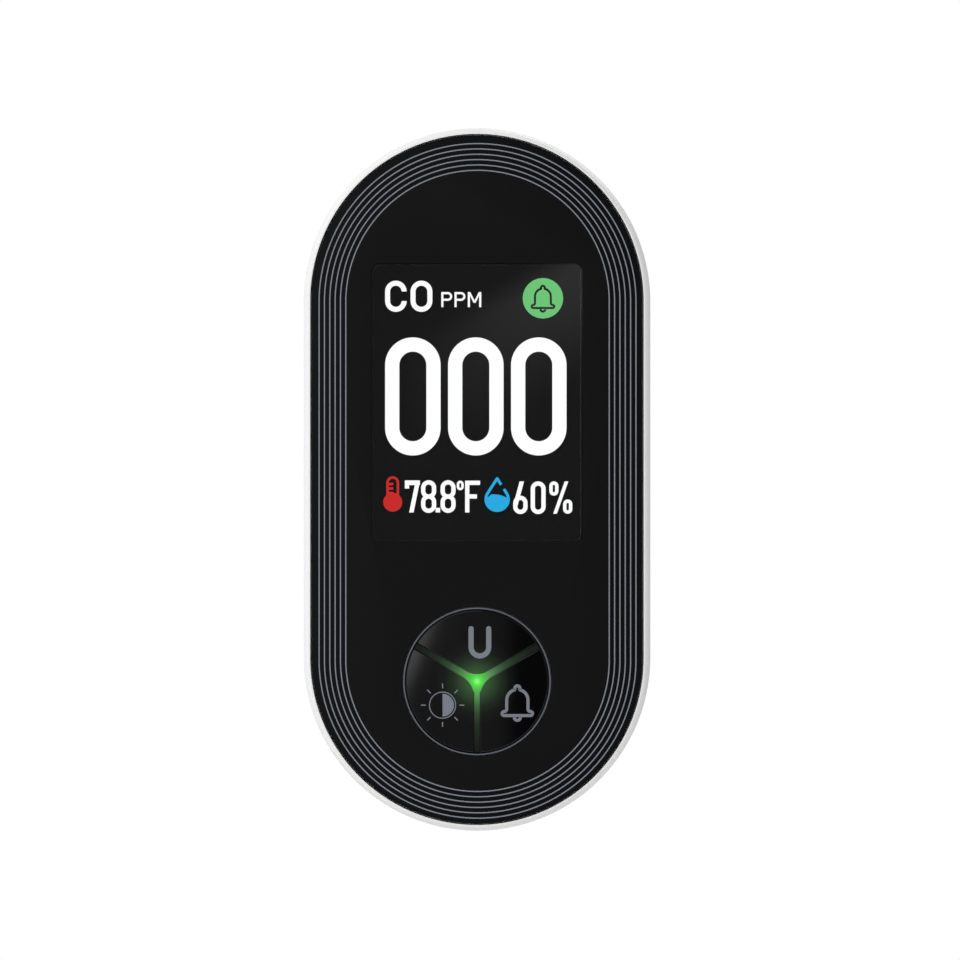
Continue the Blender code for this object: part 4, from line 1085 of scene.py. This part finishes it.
# %% The guide's glow
GLOW = [
    (0.0, light(150, 255, 140)),
    (0.035, light(120, 250, 112)),
    (0.07, light(84, 222, 74)),
    (0.12, light(78, 190, 72)),
    (0.2, light(86, 148, 84)),
    (0.34, light(62, 100, 60)),
    (0.46, light(42, 68, 42)),
    (0.62, light(27, 40, 26)),
    (0.85, light(16, 19, 16)),
    (1.0, light(10, 11, 10)),
]
guide_finish = Finish("light_guide")
wisp = guide_finish.noise(0.5 * MM) * 0.02
glow = guide_finish.add("ValToRGB", {"stops": GLOW}, {0: from_lamp(guide_finish) + wisp})
guide_finish.set(Base_Color=(0.003, 0.006, 0.003, 1), Roughness=guide_finish.noise(0.4 * MM) * 0.1 + 0.25)
guide_finish.set(Emission_Color=glow, Emission_Strength=1.0, Specular_IOR_Level=0.1)
print(len(GLOW), "stops in the glow")

# %% The guide
PIPE_RADIUS = 2.0 * MM
PIPE_FRONT = KEY_BACK + 0.8 * MM
ROOM = 2 * MM  # a cutter is this much wider and deeper than the arms
guide_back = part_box("light_guide")[1].y
arms = carried([(KEY_RADIUS, FRONT), (KEY_RADIUS, PIPE_FRONT + ROOT)])
grown = [(KEY_RADIUS + ROOM, ahead_of_front), (KEY_RADIUS + ROOM, PIPE_FRONT + ROOM)]
arms = combined(arms, "DIFFERENCE", [third(grown, angle, LIGHT_GAP) for angle in KEY_ANGLES.values()])
arms = combined(arms, "UNION", [rod(PIPE_RADIUS, PIPE_FRONT, guide_back)])
guide = settle("glowing_guide", moved(arms, z=KEYS.z), "light_guide", stands_for=["light_guide"])
print("light guide:", len(guide.data.polygons), "faces")

# %% [markdown]
# ## Signs on the keys
#
# A U switches the unit, a half-filled sun sets the brightness, and a bell tests or stills the alarm. They
# are printed on the keys in a grey a little darker than the lines, and follow the dome. Each rides on its own
# key.

# %% Print the signs
finish("sign_ink", light(116, 121, 131), 0.5, drift=0.05, grain=0.1 * MM, depth=0.001 * MM, patch=2 * MM)


def printed(name, pens, x, z, key):
    sheet = film(pens, INK, x * MM, z * MM, KEY_TOP)
    settle(name, moved(domed(sheet), z=KEYS.z), "sign_ink", f"key_{key}")


u_half, u_rise, u_stroke = 1.53, 3.18, 0.9
letter_u = Pen(u_stroke).start(-u_half, u_rise, -90).run(u_rise).bend(u_half, 180).run(u_rise)
for way in (-1, 1):
    letter_u.dot(way * u_half, u_rise, u_stroke / 2)
printed("sign_units", [letter_u], 0.50, 5.95, "units")

SUN_RING, SUN_FILL, RAY_START, RAY_END = 2.27, 1.97, 2.93, 3.74
rays = [Pen(0.2).line(unit(45 * i).xz * RAY_START, unit(45 * i).xz * RAY_END) for i in range(8)]
sun_ring = Pen(0.17).start(SUN_RING, 0, 90).bend(SUN_RING, 360)
half_disc = Pen().start(0, -SUN_FILL, 0).bend(SUN_FILL, 180)
printed("sign_brightness", [sun_ring, half_disc.filled(), *rays], -5.97, -4.11, "brightness")
printed("sign_alarm", bell(0, 0, 2.94, 0.53), 6.99, -3.65, "alarm")
print("three keys signed")

# %% [markdown]
# ## Finishes for what lies inside
#
# Everything behind the front keeps its engineering shape. Each kind of part still gets its own surface: a
# circuit board shows faint copper tracks under its lacquer, a wound coil shows layers of tape, drawn metal is
# brushed, and felt is fibrous. A table holds the plain ones, and the special ones are written out.

# %% Plain inner finishes: colour, gloss, metal, drift, grain, depth, in a table
INNER = {
    "tape": ((0.30, 0.30, 0.30, 1), 0.85, 0.0, 0.15, 0.10, 0.010),
    "pale_plastic": ((0.78, 0.78, 0.75, 1), 0.48, 0.0, 0.04, 0.20, 0.005),
    "grey_plastic": ((0.21, 0.21, 0.22, 1), 0.46, 0.0, 0.06, 0.15, 0.006),
    "black_plastic": ((0.02, 0.02, 0.02, 1), 0.46, 0.0, 0.20, 0.15, 0.006),
    "chip_black": ((0.016, 0.016, 0.017, 1), 0.52, 0.0, 0.15, 0.05, 0.003),
    "steel": ((0.56, 0.56, 0.57, 1), 0.30, 1.0, 0.08, 0.06, 0.002),
    "brass": ((0.62, 0.45, 0.14, 1), 0.30, 1.0, 0.10, 0.08, 0.002),
    "ferrite": ((0.05, 0.05, 0.055, 1), 0.70, 0.0, 0.25, 0.20, 0.015),
    "sleeve_black": ((0.02, 0.02, 0.03, 1), 0.34, 0.0, 0.10, 0.30, 0.002),
    "fuse_brown": ((0.16, 0.06, 0.03, 1), 0.48, 0.0, 0.10, 0.20, 0.004),
    "blue_epoxy": ((0.02, 0.13, 0.40, 1), 0.34, 0.0, 0.12, 0.60, 0.010),
    "felt": ((0.03, 0.03, 0.03, 1), 0.93, 0.0, 0.40, 0.12, 0.040),
}
for name, (colour, gloss, metal, drift, grain, depth) in INNER.items():
    finish(name, colour, gloss, metal, drift, grain * MM, depth * MM)
print(len(INNER), "plain finishes")

# %% Boards, coil tape, flex and blades
for name, lacquer, copper in (
    ("board_green", (0.008, 0.085, 0.026, 1), (0.02, 0.16, 0.05, 1)),
    ("board_tan", (0.40, 0.28, 0.11, 1), (0.50, 0.36, 0.17, 1)),
):
    board = Finish(name)
    cell = {"Vector": board.place(), "Scale": 1 / (2.5 * MM)}
    tracks = board.add("TexBrick", {"offset": 0.5}, {**cell, "Mortar Size": 0.12, "Mortar Smooth": 0.3}, 1)
    board.set(Base_Color=board.mix(tracks, lacquer, copper), Roughness=board.noise(0.4 * MM) * 0.1 + 0.3)
    board.bump(tracks, 0.02 * MM)

coil = Finish("coil_tape")
turns = {"Vector": coil.place(), "Scale": 1 / (12 * MM), "Distortion": 0.4}
layers = coil.add("TexWave", {"bands_direction": "Y"}, turns, 1)
coil.set(Base_Color=coil.mix(layers, (0.60, 0.42, 0.03, 1), (0.78, 0.58, 0.07, 1)))
coil.set(Roughness=coil.noise(0.5 * MM) * 0.15 + 0.35)
coil.bump(layers, 0.05 * MM)

flex = Finish("flex")
x, _, _ = flex.split(flex.place())
TRACE_PITCH = 0.8 * MM
trace = (x * (2 * math.pi / TRACE_PITCH)).maths("SINE").maths("GREATER_THAN", 0.2)
flex.set(Base_Color=flex.mix(trace, (0.34, 0.15, 0.03, 1), (0.50, 0.25, 0.06, 1)))
flex.set(Roughness=flex.noise(0.5 * MM) * 0.1 + 0.35)

nickel = Finish("nickel")
stretch = nickel.add("Mapping", inputs={"Vector": nickel.place(), "Scale": (1, 0.04, 1)})
brushed = nickel.add("TexNoise", inputs={"Vector": stretch, "Scale": 1 / (0.08 * MM), "Detail": 3.0})
rub = nickel.noise(3 * MM, 3.0)
nickel.set(Base_Color=nickel.mix(rub, (0.58, 0.55, 0.50, 1), (0.70, 0.67, 0.61, 1)), Metallic=1.0)
nickel.set(Roughness=brushed * 0.14 + 0.2)
nickel.bump(brushed, 0.003 * MM)
print(len(FINISHES), "finishes so far")

# %% The label: silver film with a printed border
paper = Finish("label")
x, _, z = paper.split(paper.place())
BORDER_INSET, BORDER_LINE = 1.4 * MM, 0.25 * MM
reach_x = abs(x - label.x) - (label_size.x / 2 - BORDER_INSET)
reach_z = abs(z - label.z) - (label_size.z / 2 - BORDER_INSET)
edge = reach_x.maths("MAXIMUM", reach_z)
frame_line = (abs(edge) - BORDER_LINE / 2).maths("LESS_THAN", 0.0)
film_tone = paper.mix(paper.noise(5 * MM), (0.62, 0.62, 0.63, 1), (0.70, 0.70, 0.70, 1))
paper.set(Base_Color=paper.mix(frame_line, film_tone, (0.16, 0.16, 0.17, 1)))
paper.set(Roughness=paper.noise(0.2 * MM) * 0.12 + 0.38, Metallic=0.35)
paper.bump(paper.noise(0.15 * MM), 0.003 * MM)

# %% Give the engineering pieces their finishes
for node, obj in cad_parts.items():
    for slot in obj.material_slots:
        name = slot.material.name.split(".")[0]
        if name in FINISHES:
            slot.material = FINISHES[name]
        else:
            print("no finish for", node, name)
print("finishes given to", len(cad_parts), "engineering pieces")

# %% [markdown]
# ## The case screws
#
# Four pan-head screws sit deep in bores in the back. Each is a carried section: a point, a shank, the round
# head. A cross is cut into the head with two bars, one after the other: an exact Boolean wants each cutter to
# be a sound solid, and two bars that cross in one mesh are not.

# %% Screws
SHANK, TIP, TIP_LENGTH = 1.45 * MM, 0.5 * MM, 1 * MM
HEAD_THICK = 1.8 * MM
HEAD_ROUNDING = (1.4 * MM, 0.9 * MM)  # across and deep
HEAD_STEPS = 6
CROSS_LENGTH, CROSS_WIDTH, CROSS_DEPTH, CROSS_CORNER = 3.2 * MM, 0.6 * MM, 1.1 * MM, 0.1 * MM
for i, at in enumerate(screws, 1):
    low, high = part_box(f"case_screw_{i}")
    radius = high.x - at.x
    seat = high.y - HEAD_THICK
    section = [(TIP, low.y), (SHANK, low.y + TIP_LENGTH), (SHANK, seat), (radius, seat)]
    for step in range(HEAD_STEPS + 1):
        turn = math.pi / 2 * step / HEAD_STEPS
        across, deep = HEAD_ROUNDING[0] * (1 - math.cos(turn)), HEAD_ROUNDING[1] * (1 - math.sin(turn))
        section.append((radius - across, high.y - deep))
    screw = carried(section, steps=40)
    for wide, tall in ((CROSS_LENGTH, CROSS_WIDTH), (CROSS_WIDTH, CROSS_LENGTH)):
        bar = plate(wide, tall, CROSS_CORNER, high.y - CROSS_DEPTH, high.y + 1 * MM, steps=16)
        screw = combined(screw, "DIFFERENCE", [bar])
    settle(f"pan_screw_{i}", moved(screw, at.x, at.z), "steel", stands_for=[f"case_screw_{i}"])
print(len(screws), "screws")

# %% [markdown]
# ## Floor, light and camera
#
# The surroundings are plain: a pale floor, and three large soft lamps, a strong one in front on the left, a
# weak one in front on the right, and one behind. A glossy black face shows whatever lies in front of it, so
# the surroundings it mirrors are a gradient, bright on the left and dark on the right, which only the
# mirrored and scattered light sees; what the camera sees behind the object is plain white.

# %% Floor and surroundings
FLOOR_LEVEL, FLOOR_HALF = -0.8, 4.4
floor_mesh = bmesh.new()
bmesh.ops.create_grid(floor_mesh, x_segments=8, y_segments=8, size=FLOOR_HALF)
bmesh.ops.translate(floor_mesh, verts=floor_mesh.verts, vec=(0, 0, FLOOR_LEVEL))
finish("floor_white", (0.85, 0.85, 0.85, 1), 0.7, drift=0.01, grain=4 * MM, depth=0.02 * MM, patch=0.3)
floor = bpy.data.objects.new("floor", mesh_from(floor_mesh, "floor"))
floor.data.materials.append(FINISHES["floor_white"])
bpy.context.scene.collection.objects.link(floor)

world = bpy.data.worlds.new("studio")
world.use_nodes = True
bpy.context.scene.world = world
around = Nodes(world.node_tree)
way_x, way_y, way_z = around.split(around.add("TexCoord", output="Generated"))

# Shares by direction: the bright left, a dark strip on the right, straight in front, and from above.
lit_side = (way_x * -1 + way_z * 0.42).step(0.051, 0.070)
dark_side = way_x.step(0.022, 0.045) * (1 - way_x.step(0.15, 0.3)) * (way_y * -1).step(0.5, 0.9)
ahead = (way_y * -1).step(0.85, 0.98)
over = way_z.step(0.1, 0.8) * 0.2 + way_x.step(0.2, 0.8) * 0.3
level = (lit_side * (ahead * 0.85 + 0.7) + 0.16 + over) * (1 - dark_side * 0.98)
mirrored = around.add("CombineColor", inputs={0: level, 1: level, 2: level})
seen = around.add("LightPath", output="Is Camera Ray")
background = world.node_tree.nodes["Background"]
around.feed(background.inputs["Color"], around.mix(seen, mirrored, (1, 1, 1, 1)))
print("floor", -FLOOR_LEVEL, "m below the middle")


# %% Lights
def soft_light(name, place, target, size, power):
    lamp = bpy.data.lights.new(name, "AREA")
    lamp.shape = "DISK"
    lamp.size, lamp.energy = size, power
    obj = bpy.data.objects.new(name, lamp)
    obj.location = place
    obj.rotation_euler = (Vector(target) - Vector(place)).to_track_quat("-Z", "Y").to_euler()
    obj.visible_camera = False
    bpy.context.scene.collection.objects.link(obj)


CENTRE = Vector((0, FRONT / 2, 0))
soft_light("key_light", (-1.05, -0.8, 0.3), CENTRE, 0.6, 4.2)
soft_light("fill_light", (0.9, -0.6, 0.1), CENTRE, 0.7, 1.3)
soft_light("back_light", (0.4, 1.1, 0.7), CENTRE, 0.7, 2.2)
print(len(bpy.data.lights), "lamps")

# %% Camera, straight in front
LENS, SENSOR = 200.0, 36.0
VIEW_WIDTH = 166.4 * MM
distance = VIEW_WIDTH * LENS / SENSOR
aim = Vector((0.52 * MM, FRONT, -0.09 * MM))
camera = bpy.data.objects.new("camera", bpy.data.cameras.new("camera"))
camera.data.lens, camera.data.sensor_width = LENS, SENSOR
camera.data.clip_start, camera.data.clip_end = 0.05, 20
camera.location = aim - Vector((0, distance, 0))
camera.rotation_euler = (math.radians(90), 0, 0)
bpy.context.scene.collection.objects.link(camera)
bpy.context.scene.camera = camera
bpy.context.scene.view_settings.view_transform = "Standard"
print("camera", round(distance, 2), "m from the front")
